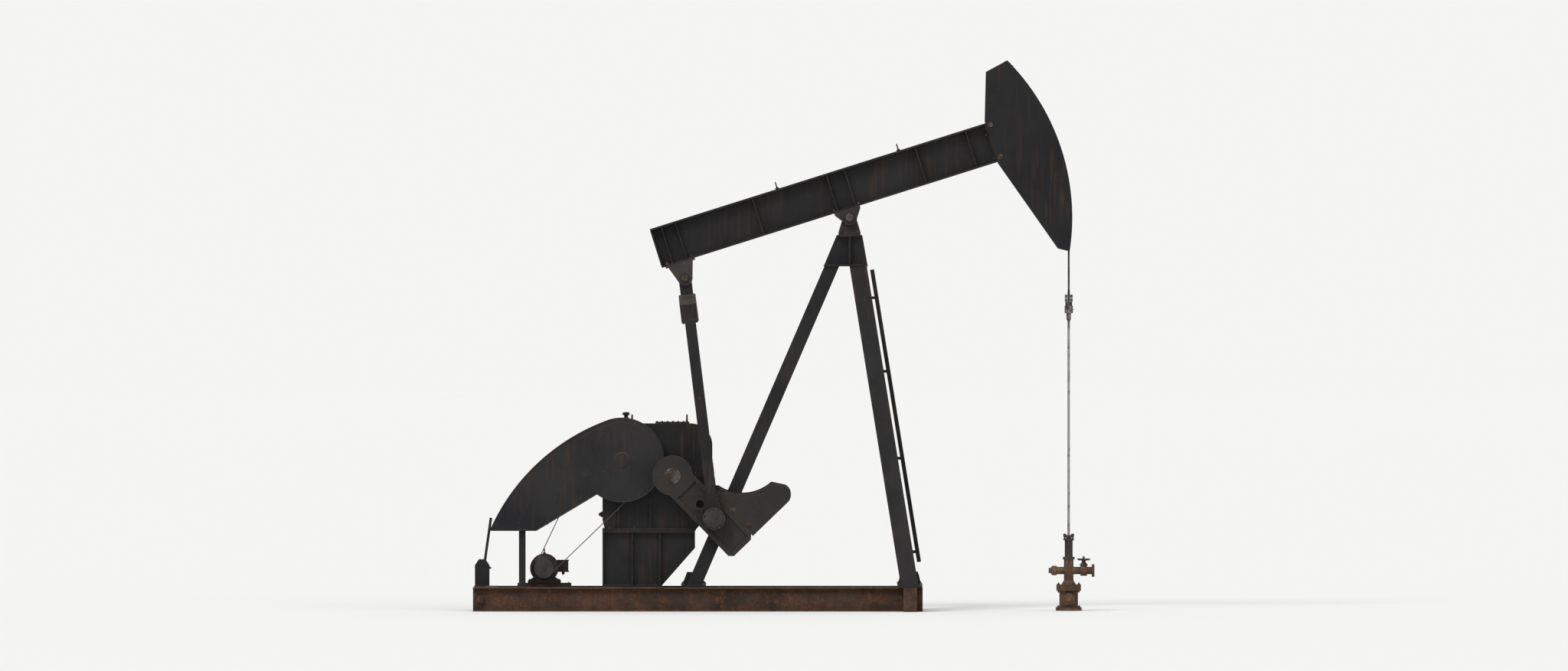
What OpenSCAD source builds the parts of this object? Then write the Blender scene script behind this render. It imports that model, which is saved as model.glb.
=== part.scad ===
// Beam pumping unit of the conventional crank-balanced kind, with its wellhead.
// X runs along the unit with the well at the +X end, Y is across it and Z is up.

/* [Mechanism] */
// Height of the centre bearing above the ground
bearing_h = 5880; // [5800:10:5960]
// Front arm, from the centre bearing to the polished rod
front_arm = 3277; // [3240:1:3320]
// Rear arm, from the centre bearing to the tail bearing
rear_arm = 2620; // [2590:5:2650]
// How far the tail bearing lies below the centre bearing, square to the beam
tail_drop = 119; // [110:1:130]
// Distance of the crankshaft behind the centre bearing
crank_back = 2640; // [2610:5:2670]
// Height of the crankshaft above the ground
crank_h = 2030; // [2010:5:2060]
// Throw of the crank, from its shaft to the wrist pin
crank_throw = 890; // [860:5:920]
// Length of the pitman between its bearings
pitman_len = 3615; // [3590:5:3640]
// Angle of the crank below the horizontal at rest
crank_angle = 46; // [43:1:49]

/* [Skid] */
// Rear end of the skid, behind the centre bearing
skid_rear = 5620; // [5580:10:5700]
// Front end of the skid, ahead of the centre bearing
skid_front = 1090; // [1070:10:1200]
// Depth of the skid beams
skid_h = 360; // [340:5:380]
// Flange width of the skid beams
skid_flange_w = 200; // [180:5:210]
// Distance between the two skid beams, centre to centre
skid_gauge = 1120; // [1080:10:1130]
// Thickness of the skid beams' flanges
skid_tf = 20; // [16:1:24]
// Thickness of the skid beams' webs
skid_tw = 12; // [10:1:16]
// Reach of the front outriggers to each side
outrigger_reach = 1060; // [1040:10:1100]
// Radius of the tow pipes at the skid's ends
tow_pipe_r = 57; // [50:1:65]
// Radius of the anchor holes in the skid's lower flanges
anchor_r = 14; // [11:1:18]

/* [Post] */
// Distance of the front feet ahead of the centre bearing
front_foot_x = 900; // [860:10:940]
// Distance of the front feet from the middle plane
front_foot_y = 850; // [800:10:860]
// Distance of the rear feet behind the centre bearing
rear_foot_x = 2330; // [2300:10:2350]
// Distance of the rear feet from the middle plane
rear_foot_y = 450; // [430:5:470]
// Distance of the leg tops from the middle plane
leg_top_y = 170; // [165:1:180]
// Flange width of the front legs
front_leg_w = 254; // [240:1:262]
// Flange width of the rear legs
rear_leg_w = 203; // [190:1:212]
// Thickness of the legs' flanges
leg_tf = 16; // [12:1:20]
// Thickness of the legs' webs
leg_tw = 12; // [10:1:16]
// Side of the square foot plates
foot_side = 360; // [330:10:370]
// Thickness of the foot plates
foot_t = 30; // [24:1:36]
// Leg of the angle bars that brace the post
brace_leg = 76; // [64:1:90]
// Thickness of the angle bars
brace_t = 9; // [7:1:12]
// Clear width of the ladder
ladder_w = 380; // [340:10:400]
// Distance between two rungs
rung_pitch = 300; // [280:10:320]

/* [Beam] */
// Depth of the walking beam
beam_d = 610; // [580:5:640]
// Flange width of the walking beam
beam_w = 300; // [280:5:320]
// Thickness of the beam's flanges
beam_tf = 28; // [22:1:34]
// Thickness of the beam's web
beam_tw = 18; // [14:1:22]
// Height of the beam's underside above the centre bearing
beam_seat = 124; // [122:1:130]
// Tail end of the beam, behind the centre bearing
beam_tail = 2900; // [2880:10:2960]
// Head end of the beam, ahead of the centre bearing
beam_nose = 2360; // [2300:10:2380]
// Radius of the centre bearing's shaft
saddle_shaft_r = 70; // [60:1:78]
// Radius of the tail bearing's pin
tail_pin_r = 65; // [55:1:72]

/* [Horsehead] */
// Angle of the head's top above the beam, seen from the centre bearing
head_up_angle = 27.4; // [26.5:0.1:28.5]
// Angle of the head's lower tip below the beam
head_down_angle = 26.2; // [25:0.1:27.5]
// How far the cheeks stand proud of the track
head_lip = 66; // [50:1:80]
// Outside width of the head across its cheeks
head_w = 340; // [320:5:360]
// Thickness of the cheeks
cheek_t = 16; // [12:1:20]
// Radius of the bridle ropes
rope_r = 14; // [11:1:16]
// Distance between the two bridle ropes
rope_gauge = 210; // [190:5:230]

/* [Drive] */
// Distance of the gearbox's input shaft behind the centre bearing
input_back = 3400; // [3390:5:3430]
// Height of the input shaft above the ground
input_h = 2260; // [2240:5:2280]
// Rear face of the gearbox, behind the centre bearing
gear_rear = 3690; // [3670:5:3720]
// Front face of the gearbox, behind the centre bearing
gear_front = 2050; // [2040:5:2080]
// Height of the gearbox's flat top
gear_top = 2800; // [2780:5:2840]
// Width of the gearbox housing
gear_w = 700; // [660:10:720]
// Height of the pedestal's top above the ground
pedestal_h = 1200; // [1180:5:1220]
// Radius of the crankshaft
crankshaft_r = 115; // [100:1:120]
// Outside radius of the large sheave
sheave_r = 500; // [470:5:520]
// Outside radius of the motor's sheave
motor_sheave_r = 140; // [125:5:150]
// Distance of the motor's shaft behind the centre bearing
motor_back = 4560; // [4540:5:4600]
// Height of the motor's shaft above its rails
motor_shaft_h = 225; // [220:1:240]
// Radius of the motor's body over its fins
motor_r = 215; // [205:1:218]
// Length of the motor's body
motor_len = 560; // [520:10:580]
// Height of the motor's slide rails
rail_h = 55; // [45:1:65]
// Radius of the belt guard's round end
guard_r = 630; // [610:5:640]
// Radius of the belt guard's swept back
guard_sweep_r = 3070; // [2950:10:3200]
// Height of the belt guard's lower end above the ground
guard_end_h = 1210; // [1150:10:1260]
// Thickness of the belt guard's sheet
guard_t = 6; // [5:1:8]

/* [Cranks] */
// Inner face of the cranks, from the middle plane
crank_y = 720; // [715:1:740]
// Thickness of the cranks
crank_t = 160; // [140:5:170]
// Length of the crank from its shaft to its tip
crank_len = 1500; // [1460:5:1540]
// Width of the crank's parallel part
crank_w = 470; // [440:5:500]
// Radius of the crank's hub
crank_hub_r = 300; // [280:5:320]
// Distance between two wrist pin holes
pin_pitch = 150; // [135:5:165]
// Radius of the wrist pins
wrist_pin_r = 62; // [52:1:66]
// Height of the counterweight above the crank's centre line
weight_reach = 1110; // [1060:10:1130]
// Length of the counterweight along the crank
weight_len = 1030; // [980:10:1050]
// How far the counterweights stand in from the cranks' inner face
weight_inset = 24; // [16:1:30]

/* [Pitmans] */
// Gap between the crank's outer face and the wrist bearing's housing
wrist_gap = 24; // [20:1:30]
// Radius of the wrist bearings' housings
wrist_r = 165; // [150:5:175]
// Length of the wrist bearings' housings
wrist_len = 180; // [160:5:200]
// Depth of the pitman's section, seen from the side
pitman_d = 152; // [140:1:165]
// Width of the pitman's section, seen from the end
pitman_w = 110; // [100:1:120]
// Distance of the equalizer's middle below the tail bearing
equalizer_drop = 440; // [420:5:460]
// Depth of the equalizer at its middle
equalizer_d = 380; // [350:5:400]
// Width of the equalizer, seen from the side
equalizer_w = 250; // [230:5:280]

/* [Well] */
// Radius of the polished rod
rod_r = 19; // [16:1:22]
// Height of the carrier bar's top at rest
carrier_h = 4560; // [4480:10:4600]
// Height of the stuffing box's top
stuffing_h = 1130; // [1100:10:1180]
// Reach of the flow line's flange ahead of the rod
outlet_reach = 385; // [370:5:420]
// Radius of the casing head's body
casing_r = 140; // [125:5:150]
// Radius of the flow line's bore
outlet_r = 38; // [30:1:42]

/* [Hidden] */
$fn = 96;

// Colours
paint = [0.10, 0.10, 0.11];
dark_paint = [0.07, 0.07, 0.08];
rust = [0.27, 0.17, 0.12];
cast_grey = [0.20, 0.18, 0.17];
bare_steel = [0.55, 0.55, 0.56];
rubber = [0.05, 0.05, 0.05];

// Clearances
run_gap = 0.3;
far = 9000;
wrist_pin_gap = 5;
seat_gap = 0.2;

// Places in the XZ plane, as [x, z]
bearing_at = [0, bearing_h];
shaft_at = [-crank_back, crank_h];
wrist_at = shaft_at + crank_throw * [cos(crank_angle), -sin(crank_angle)];
to_wrist = wrist_at - bearing_at;
wrist_dist = norm(to_wrist);
tail_spread = acos((rear_arm * rear_arm + wrist_dist * wrist_dist - pitman_len * pitman_len)
    / (2 * rear_arm * wrist_dist));
tail_dir = atan2(to_wrist[1], to_wrist[0]) - tail_spread;
tail_at = bearing_at + rear_arm * [cos(tail_dir), sin(tail_dir)];
beam_tilt = tail_dir + 180 - asin(tail_drop / rear_arm);
tail_u = -sqrt(rear_arm * rear_arm - tail_drop * tail_drop);
pitman_lean = atan2(wrist_at[0] - tail_at[0], tail_at[1] - wrist_at[1]);
input_at = [-input_back, input_h];
motor_at = [-motor_back, skid_h + rail_h + motor_shaft_h];
mid_x = (front_arm + outlet_reach - skid_rear) / 2;

// Post
cap_drop = 260;
cap_depth = 470;
cap_top = bearing_h - cap_drop;
cap_bottom = cap_top - cap_depth;
front_top_x = 130;
rear_top_x = -265;
foot_top = skid_h + foot_t;

// Skid
skid_y = skid_gauge / 2;
web_face = skid_y - skid_tw / 2;
flange_edge = skid_y - skid_flange_w / 2;
cross_w = 180;
cross_tf = 16;
cross_tw = 10;
tow_inset = 110;
anchor_out = 60;
anchor_at = [-skid_rear + 420, skid_front - 390];
ped_rear = gear_rear;
ped_foot_front = gear_rear - 870;
ped_top_front = gear_front + 260;
cross_at = [
    front_foot_x, -rear_foot_x, -ped_foot_front - 90, -ped_rear + 100,
    -motor_back + 260, -motor_back - 290, -skid_rear + 260
];

// Beam
beam_mid = beam_seat + beam_d / 2;
beam_top = beam_seat + beam_d;
saddle_plate_in = 130;
saddle_plate_t = 40;
housing_half = saddle_plate_in - 15;
hanger_in = 125;
hanger_t = 36;

// Head
track_r = front_arm - rope_r - seat_gap;
track_t = 18;
lip_r = track_r + head_lip;
head_half = head_w / 2;
rope_y = rope_gauge / 2;
head_back_top = [beam_nose + 240, beam_top + 730];
head_back_bottom = [beam_nose + 470, -lip_r * sin(head_down_angle) + 90];

// Drive planes across the unit
sheave_w = 112;
sheave_y = -615;
guard_front = -660;
guard_back = -490;
gear_half = gear_w / 2;
cover_half = gear_half - 15;
boss_half = gear_half + 60;
split_t = 30;
belt_count = 4;
belt_pitch = 25;
belt_w = 17;
belt_h = 13;
groove_depth = 19;
crank_out = crank_y + crank_t;
pitman_y = crank_out + wrist_gap + wrist_len / 2;
weight_in = crank_y - weight_inset;

// Well
rod_low = 300;
rod_high = carrier_h + 230;
tee_low = 345;
outlet_h = 600;
box_low = 765;
well_bore_r = outlet_r + 14;

// Shape helpers
function unit(v) = v / norm(v);
function i_profile(d, b, tf, tw) = [
    [-b / 2, -d / 2], [b / 2, -d / 2], [b / 2, -d / 2 + tf], [tw / 2, -d / 2 + tf],
    [tw / 2, d / 2 - tf], [b / 2, d / 2 - tf], [b / 2, d / 2], [-b / 2, d / 2],
    [-b / 2, d / 2 - tf], [-tw / 2, d / 2 - tf], [-tw / 2, -d / 2 + tf], [-b / 2, -d / 2 + tf]
];
function angle_profile(leg, t) = [[0, 0], [leg, 0], [leg, t], [t, t], [t, leg], [0, leg]];
function box_profile(w, d) = [[-w / 2, -d / 2], [w / 2, -d / 2], [w / 2, d / 2], [-w / 2, d / 2]];
function arc(c, r, a0, a1, n) = [
    for (i = [0:n]) c + r * [cos(a0 + (a1 - a0) * i / n), sin(a0 + (a1 - a0) * i / n)]
];

module mech() translate([-mid_x, 0, 0]) children();
module beam_frame() mech() translate([0, 0, bearing_h]) rotate([0, -beam_tilt, 0]) children();
module pitman_frame() mech() translate([tail_at[0], 0, tail_at[1]])
    rotate([0, -pitman_lean, 0]) children();
module crank_frame() mech() translate([shaft_at[0], 0, shaft_at[1]])
    rotate([0, crank_angle, 0]) children();

// A profile in X and Z, carried from y0 to y1
module xz_prism(points, y0, y1) {
    translate([0, y1, 0]) rotate([90, 0, 0]) linear_extrude(y1 - y0) polygon(points);
}

// A profile in Y and Z, carried from x0 to x1
module yz_prism(points, x0, x1) {
    translate([x0, 0, 0]) rotate([90, 0, 90]) linear_extrude(x1 - x0) polygon(points);
}

// A block between two corners
module block(a, b) {
    translate(a) cube(b - a);
}

// A round bar along Y
module y_bar(r, y0, y1, at = [0, 0]) {
    translate([at[0], y1, at[1]]) rotate([90, 0, 0]) cylinder(r = r, h = y1 - y0);
}

// A round bar along X
module x_bar(r, x0, x1, y = 0, z = 0) {
    translate([x0, y, z]) rotate([0, 90, 0]) cylinder(r = r, h = x1 - x0);
}

// A profile carried in a straight line from p to q, its first axis in the XZ plane
module strut(p, q, points) {
    z = unit(q - p);
    x = abs(z[1]) > 0.99 ? [1, 0, 0] : unit(cross([0, 1, 0], z));
    y = cross(z, x);
    multmatrix([
        [x[0], y[0], z[0], p[0]],
        [x[1], y[1], z[1], p[1]],
        [x[2], y[2], z[2], p[2]],
        [0, 0, 0, 1]
    ]) linear_extrude(norm(q - p)) polygon(points);
}

// Left and right copies of what stands on the +Y side
module both_sides() {
    children();
    mirror([0, 1, 0]) children();
}

// Skid
module skid_beam(side) {
    color(rust) mech() difference() {
        translate([0, side * skid_y, skid_h / 2])
            yz_prism(i_profile(skid_h, skid_flange_w, skid_tf, skid_tw), -skid_rear, skid_front);
        for (x = [-skid_rear + tow_inset, skid_front - tow_inset])
            y_bar(tow_pipe_r + seat_gap, side * skid_y - skid_tw, side * skid_y + skid_tw, [x, skid_h / 2]);
        for (x = anchor_at)
            translate([x, side * (skid_y + anchor_out), -1]) cylinder(r = anchor_r, h = skid_tf + 2);
    }
}
module skid_beam_left() skid_beam(1);
module skid_beam_right() skid_beam(-1);

// One crossmember: full depth between the skid's flanges, and its web and flanges run on to the webs
module crossmember(x) {
    inner_d = skid_h - 2 * skid_tf;
    translate([x, 0, skid_h / 2]) {
        translate([0, flange_edge, 0]) rotate([90, 0, 0])
            linear_extrude(2 * flange_edge) polygon(i_profile(skid_h, cross_w, cross_tf, cross_tw));
        translate([0, web_face, 0]) rotate([90, 0, 0])
            linear_extrude(2 * web_face) polygon(i_profile(inner_d, cross_w, cross_tf, cross_tw));
    }
}
module skid_crossmembers() {
    color(rust) mech() {
        for (x = cross_at) crossmember(x);
        for (x = [-skid_rear + tow_inset, skid_front - tow_inset])
            y_bar(tow_pipe_r, -skid_y - 60, skid_y + 60, [x, skid_h / 2]);
    }
}

// Stub beams that carry the front feet outside the skid
module front_outriggers() {
    edge = skid_y + skid_flange_w / 2;
    web = skid_y + skid_tw / 2;
    color(rust) mech() both_sides() translate([front_foot_x, 0, skid_h / 2]) {
        translate([0, outrigger_reach, 0]) rotate([90, 0, 0])
            linear_extrude(outrigger_reach - edge)
                polygon(i_profile(skid_h, skid_flange_w, skid_tf, skid_tw));
        translate([0, outrigger_reach, 0]) rotate([90, 0, 0])
            linear_extrude(outrigger_reach - web)
                polygon(i_profile(skid_h - 2 * skid_tf, cross_w, cross_tf, cross_tw));
        block([-skid_flange_w / 2, outrigger_reach, -skid_h / 2],
            [skid_flange_w / 2, outrigger_reach + 12, skid_h / 2]);
    }
}

// Post
function front_line(side) = [
    [front_foot_x, side * front_foot_y, skid_h], [front_top_x, side * leg_top_y, cap_bottom]
];
function rear_line(side) = [
    [-rear_foot_x, side * rear_foot_y, skid_h], [rear_top_x, side * leg_top_y, cap_bottom]
];
function along(line, z) = line[0] + (line[1] - line[0]) * (z - line[0][2]) / (line[1][2] - line[0][2]);

// A leg's section carried past both ends of its line, cut level at the foot and the cap
module leg_body(line, points, low) {
    over = 0.08 * (line[1] - line[0]);
    intersection() {
        strut(line[0] - over, line[1] + over, points);
        block([-far, -far, low], [far, far, cap_bottom]);
    }
}
module post_leg(line, w) {
    foot = line[0];
    rib = 90;
    color(paint) mech() {
        leg_body(line, i_profile(w, w, leg_tf, leg_tw), foot_top);
        block([foot[0] - foot_side / 2, foot[1] - foot_side / 2, skid_h],
            [foot[0] + foot_side / 2, foot[1] + foot_side / 2, foot_top]);
        for (s = [-1, 1])
            translate([foot[0], foot[1], foot_top])
                xz_prism([[0, 0], [s * (foot_side / 2 - 10), 0], [s * w / 2, rib * 2], [0, rib * 2]], -8, 8);
    }
}
module front_leg_left() post_leg(front_line(1), front_leg_w);
module front_leg_right() post_leg(front_line(-1), front_leg_w);
module rear_leg_left() post_leg(rear_line(1), rear_leg_w);
module rear_leg_right() post_leg(rear_line(-1), rear_leg_w);

// Angle bars between a left and a right leg, cut against the legs' faces
module leg_bracing(left, right, w, levels) {
    difference() {
        union() {
            for (z = levels)
                strut(along(left, z), along(right, z), angle_profile(brace_leg, brace_t));
            for (i = [0:len(levels) - 2]) {
                strut(along(left, levels[i]), along(right, levels[i + 1]),
                    angle_profile(brace_leg * 0.8, brace_t));
                translate([-brace_t, 0, 0])
                    strut(along(right, levels[i]), along(left, levels[i + 1]),
                        angle_profile(brace_leg * 0.8, brace_t));
            }
        }
        for (line = [left, right]) leg_body(line, box_profile(w, w), skid_h);
    }
}
front_levels = [900, 2300, 3600, 4700];
rear_levels = [1700, 3000, 4300];
module front_braces() {
    color(paint) mech() leg_bracing(front_line(1), front_line(-1), front_leg_w, front_levels);
}
module rear_braces() {
    color(paint) mech() leg_bracing(rear_line(1), rear_line(-1), rear_leg_w, rear_levels);
}

// Head of the post: plates that tie the four legs together under the bearing
module post_cap() {
    plate_t = 24;
    half_y = leg_top_y + front_leg_w / 2 + 15;
    front = front_top_x + front_leg_w * 0.56;
    rear = rear_top_x - rear_leg_w * 0.60;
    top_front = 190;
    top_rear = -190;
    side = [[rear, cap_bottom], [front, cap_bottom], [top_front, cap_top], [top_rear, cap_top]];
    color(paint) mech() {
        block([rear, -half_y, cap_bottom], [front, half_y, cap_bottom + plate_t]);
        block([top_rear, -half_y, cap_top - plate_t], [top_front, half_y, cap_top]);
        for (y = [-leg_top_y, 0, leg_top_y]) xz_prism(side, y - plate_t / 2, y + plate_t / 2);
        block([-plate_t / 2, -half_y + 10, cap_bottom], [plate_t / 2, half_y - 10, cap_top]);
    }
}

// Ladder up the front of the post, on brackets from its cross bars
module ladder() {
    rail_d = 60;
    rail_t = 12;
    rung_r = 12;
    top_gap = 80;
    stand_off = front_leg_w / 2 + 70;
    low = 700;
    high = cap_bottom - top_gap;
    foot = along(front_line(1), low);
    head = along(front_line(1), high);
    lean = atan2(foot[0] - head[0], high - low);
    length = (high - low) / cos(lean);
    reach = stand_off / cos(lean) - rail_d / 4;
    color(paint) mech() {
        translate([foot[0], 0, low]) rotate([0, -lean, 0]) translate([stand_off, 0, 0]) {
            for (y = [-ladder_w / 2 - rail_t, ladder_w / 2])
                block([-rail_d / 2, y, 0], [rail_d / 2, y + rail_t, length]);
            for (z = [rung_pitch / 2:rung_pitch:length - rung_pitch / 4])
                translate([0, 0, z]) y_bar(rung_r, -ladder_w / 2 - rail_t / 2, ladder_w / 2 + rail_t / 2);
        }
        for (z = front_levels)
            for (y = [-ladder_w / 2 - rail_t, ladder_w / 2])
                ladder_bracket(z, y, rail_t, z == max(front_levels) ? web_front(lean) : brace_leg / 2, reach);
    }
}

// A flat bar under a cross bar, or on a leg's web at the top, that holds a ladder rail
bracket_d = 40;
function web_front(lean) = leg_tw / 2 / cos(lean) + bracket_d * tan(lean) + seat_gap;
module ladder_bracket(z, y, t, start, end) {
    translate([along(front_line(1), z)[0], 0, z]) block([start, y, -bracket_d], [end, y + t, 0]);
}

// Bearing block of the walking beam, fixed on the post's head
module centre_bearing() {
    barrel_r = beam_seat - 8;
    base_half = 165;
    base_t = 40;
    base_y = housing_half + 60;
    neck_y = housing_half - 15;
    neck_half = barrel_r * 0.85;
    color(cast_grey) mech() translate([0, 0, bearing_h]) difference() {
        union() {
            y_bar(barrel_r, -housing_half, housing_half);
            xz_prism([
                [-base_half, -cap_drop], [base_half, -cap_drop], [base_half, -cap_drop + base_t],
                [neck_half, 0], [-neck_half, 0], [-base_half, -cap_drop + base_t]
            ], -neck_y, neck_y);
            block([-base_half, -base_y, -cap_drop], [base_half, base_y, -cap_drop + base_t]);
        }
        y_bar(saddle_shaft_r + run_gap, -housing_half - 1, housing_half + 1);
    }
}

// Drive
module pedestal() {
    web_y = 300;
    web_t = 20;
    plate_t = 28;
    low = skid_h;
    top = pedestal_h;
    half = gear_half + 60;
    side = [
        [-ped_rear, low], [-ped_foot_front, low], [-ped_top_front, top - 260], [-ped_top_front, top], [-ped_rear, top]
    ];
    color(paint) mech() {
        for (s = [-1, 1]) {
            xz_prism(side, s * web_y - web_t / 2, s * web_y + web_t / 2);
            block([-ped_rear, s * web_y - 90, low], [-ped_foot_front, s * web_y + 90, low + plate_t]);
        }
        block([-ped_rear, -half, top - plate_t], [-ped_top_front, half, top]);
        for (x = [-ped_rear, (-ped_rear - ped_foot_front) / 2, -ped_foot_front - web_t])
            block([x, -half + 20, low], [x + web_t, half - 20, top]);
    }
}

// Rounded outline of the gearbox's cover
cover_corner = 330;
function cover_outline() = concat(
    [[-gear_rear, crank_h]],
    arc([-gear_rear + cover_corner, gear_top - cover_corner], cover_corner, 180, 90, 16),
    arc([-gear_front - cover_corner, gear_top - cover_corner], cover_corner, 90, 0, 16),
    [[-gear_front, crank_h]]
);
module shaft_bores() {
    y_bar(crankshaft_r + run_gap, -boss_half - 1, boss_half + 1, shaft_at);
}
module shaft_bosses() {
    y_bar(crankshaft_r + 145, -boss_half, boss_half, shaft_at);
    y_bar(140, -boss_half, boss_half, input_at);
    y_bar(160, -boss_half + 20, boss_half - 20, [-input_back + 330, crank_h + 60]);
}
module gearbox_case() {
    foot_t2 = 36;
    low = pedestal_h;
    case_outline = [
        [-gear_rear + 40, low], [-gear_front - 260, low], [-gear_front, low + 300],
        [-gear_front, crank_h], [-gear_rear, crank_h], [-gear_rear, low + 160]
    ];
    color(paint) mech() difference() {
        union() {
            xz_prism(case_outline, -gear_half, gear_half);
            block([-gear_rear, -gear_half - 55, low], [-ped_top_front, gear_half + 55, low + foot_t2]);
            block([-gear_rear - 30, -gear_half - 45, crank_h - split_t], [-gear_front + 30, gear_half + 45, crank_h]);
            for (x = [-gear_rear + 240, -crank_back - 330, -crank_back + 330])
                block([x - 12, -gear_half - 45, low], [x + 12, gear_half + 45, crank_h]);
            intersection() {
                shaft_bosses();
                block([-far, -far, low], [0, far, crank_h]);
            }
        }
        shaft_bores();
    }
}
module gearbox_cover() {
    color(paint) mech() difference() {
        union() {
            xz_prism(cover_outline(), -cover_half, cover_half);
            block([-gear_rear - 30, -gear_half - 45, crank_h], [-gear_front + 30, gear_half + 45, crank_h + split_t]);
            intersection() {
                shaft_bosses();
                block([-far, -far, crank_h], [0, far, gear_top]);
            }
            block([-crank_back - 260, -200, gear_top - 5], [-crank_back + 220, 200, gear_top + 26]);
            translate([-input_back + 60, 0, gear_top - 5]) cylinder(r = 34, h = 75);
        }
        shaft_bores();
    }
}

// A grooved pulley on a shaft along Y, from y0 inward
module sheave(r, at, y0, hub_r, bore_r, spokes) {
    web_t = 24;
    translate([at[0], y0 + sheave_w, at[1]]) rotate([90, 0, 0]) difference() {
        union() {
            rotate_extrude() polygon(concat(
                [[r - groove_depth - 26, 0], [r, 0]],
                [for (i = [0:belt_count - 1]) each groove_points(r, 18.5 + belt_pitch * i)],
                [[r, sheave_w], [r - groove_depth - 26, sheave_w]]
            ));
            cylinder(r = hub_r, h = sheave_w);
            if (spokes > 0) {
                for (i = [0:spokes - 1]) rotate([0, 0, 360 / spokes * i + 18])
                    translate([hub_r - 5, -30, sheave_w / 2 - web_t / 2])
                        cube([r - groove_depth - 20 - hub_r, 60, web_t]);
            } else {
                cylinder(r = r - groove_depth - 20, h = sheave_w);
            }
        }
        translate([0, 0, -1]) cylinder(r = bore_r, h = sheave_w + 2);
    }
}
function groove_points(r, z) = [
    [r, z - 10.5], [r - groove_depth, z - belt_w / 2 + 1], [r - groove_depth, z + belt_w / 2 - 1], [r, z + 10.5]
];
input_shaft_r = 50;
module large_sheave() {
    color(cast_grey) mech() {
        sheave(sheave_r, input_at, sheave_y, 95, input_shaft_r, 6);
        y_bar(input_shaft_r, sheave_y - 20, -boss_half, input_at);
    }
}
motor_shaft_r = 30;
module motor_sheave() {
    color(cast_grey) mech() sheave(motor_sheave_r, motor_at, sheave_y, 60, motor_shaft_r + seat_gap, 0);
}

// Outline of a belt round both sheaves at a depth below their rims
belt_run = input_at - motor_at;
belt_dir = atan2(belt_run[1], belt_run[0]);
function belt_outline(depth) =
    let (big = sheave_r - depth, small = motor_sheave_r - depth, lean = asin((big - small) / norm(belt_run)))
    concat(
        arc(input_at, big, belt_dir + 90 + lean, belt_dir - 90 - lean, 64),
        arc(motor_at, small, belt_dir - 90 - lean, belt_dir - 270 + lean, 40)
    );
module belts() {
    inner = groove_depth - 0.6;
    color(rubber) mech() for (i = [0:belt_count - 1])
        translate([0, sheave_y + sheave_w - 18.5 - belt_pitch * i + 7, 0]) rotate([90, 0, 0])
            linear_extrude(14) difference() {
                polygon(belt_outline(inner - belt_h));
                polygon(belt_outline(inner));
            }
}

// Belt guard: a round end over the large sheave and a swept tail over the belts, open below
guard_pull = guard_sweep_r - guard_r;
guard_sweep_at = input_at + guard_pull * unit([0.369, -1]);
guard_tail_x = guard_sweep_at[0] - sqrt(pow(guard_sweep_r, 2) - pow(guard_end_h - guard_sweep_at[1], 2));
guard_tail_w = 690;
guard_lower_slope = 0.615;
guard_tail_at = [guard_tail_x, guard_end_h];
guard_tail_dir = atan2(guard_end_h - guard_sweep_at[1], guard_tail_x - guard_sweep_at[0]);
guard_join_dir = atan2(input_at[1] - guard_sweep_at[1], input_at[0] - guard_sweep_at[0]);
guard_heel = -126;
guard_rim_end = -35;

// Back of the guard at a depth below its outline, from the tail's end to a direction on the round end
function guard_back_line(inset, last) = concat(
    arc(guard_sweep_at, guard_sweep_r - inset, guard_tail_dir, guard_join_dir, 32),
    [for (i = [1:40]) let (a = guard_join_dir + (last - guard_join_dir) * i / 40)
        input_at + (guard_r - inset) * [cos(a), sin(a)]]
);
function reversed(list) = [for (i = [len(list) - 1:-1:0]) list[i]];
module belt_guard() {
    leg_x = guard_tail_x + 480;
    leg_half = 50;
    leg_t = 12;
    foot_half = 60;
    strap_h = 30;
    strap_top = guard_end_h + 90;
    leg_y = -skid_y;
    color(paint) mech() {
        xz_prism(concat(guard_back_line(0, guard_heel), [[guard_tail_x + guard_tail_w, guard_end_h]]),
            guard_front, guard_front + guard_t);
        xz_prism(concat(guard_back_line(0, guard_rim_end), reversed(guard_back_line(guard_t, guard_rim_end))),
            guard_front + guard_t, guard_back);
        block([leg_x - leg_half, leg_y - leg_t / 2, skid_h + leg_t], [leg_x + leg_half, leg_y + leg_t / 2, strap_top]);
        block([leg_x - leg_half, leg_y - foot_half, skid_h], [leg_x + leg_half, leg_y + foot_half, skid_h + leg_t]);
        block([leg_x - leg_half, guard_front + guard_t, strap_top - strap_h],
            [leg_x + leg_half, leg_y - leg_t / 2, strap_top]);
        for (dir = [30, 100]) guard_arm(dir);
    }
}

// A flat bar behind the large sheave from the guard's rim to a stand-off on the gearbox's side
module guard_arm(dir) {
    arm_half = 30;
    arm_t = 12;
    inner = 220;
    post_r = 24;
    post_at = input_at + (inner + arm_half) * [cos(dir), sin(dir)];
    translate([input_at[0], 0, input_at[1]]) rotate([0, -dir, 0])
        block([inner, guard_back - 1, -arm_half], [guard_r - guard_t / 2, guard_back + arm_t, arm_half]);
    y_bar(post_r, guard_back + arm_t - 1, -cover_half, post_at);
}

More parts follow.
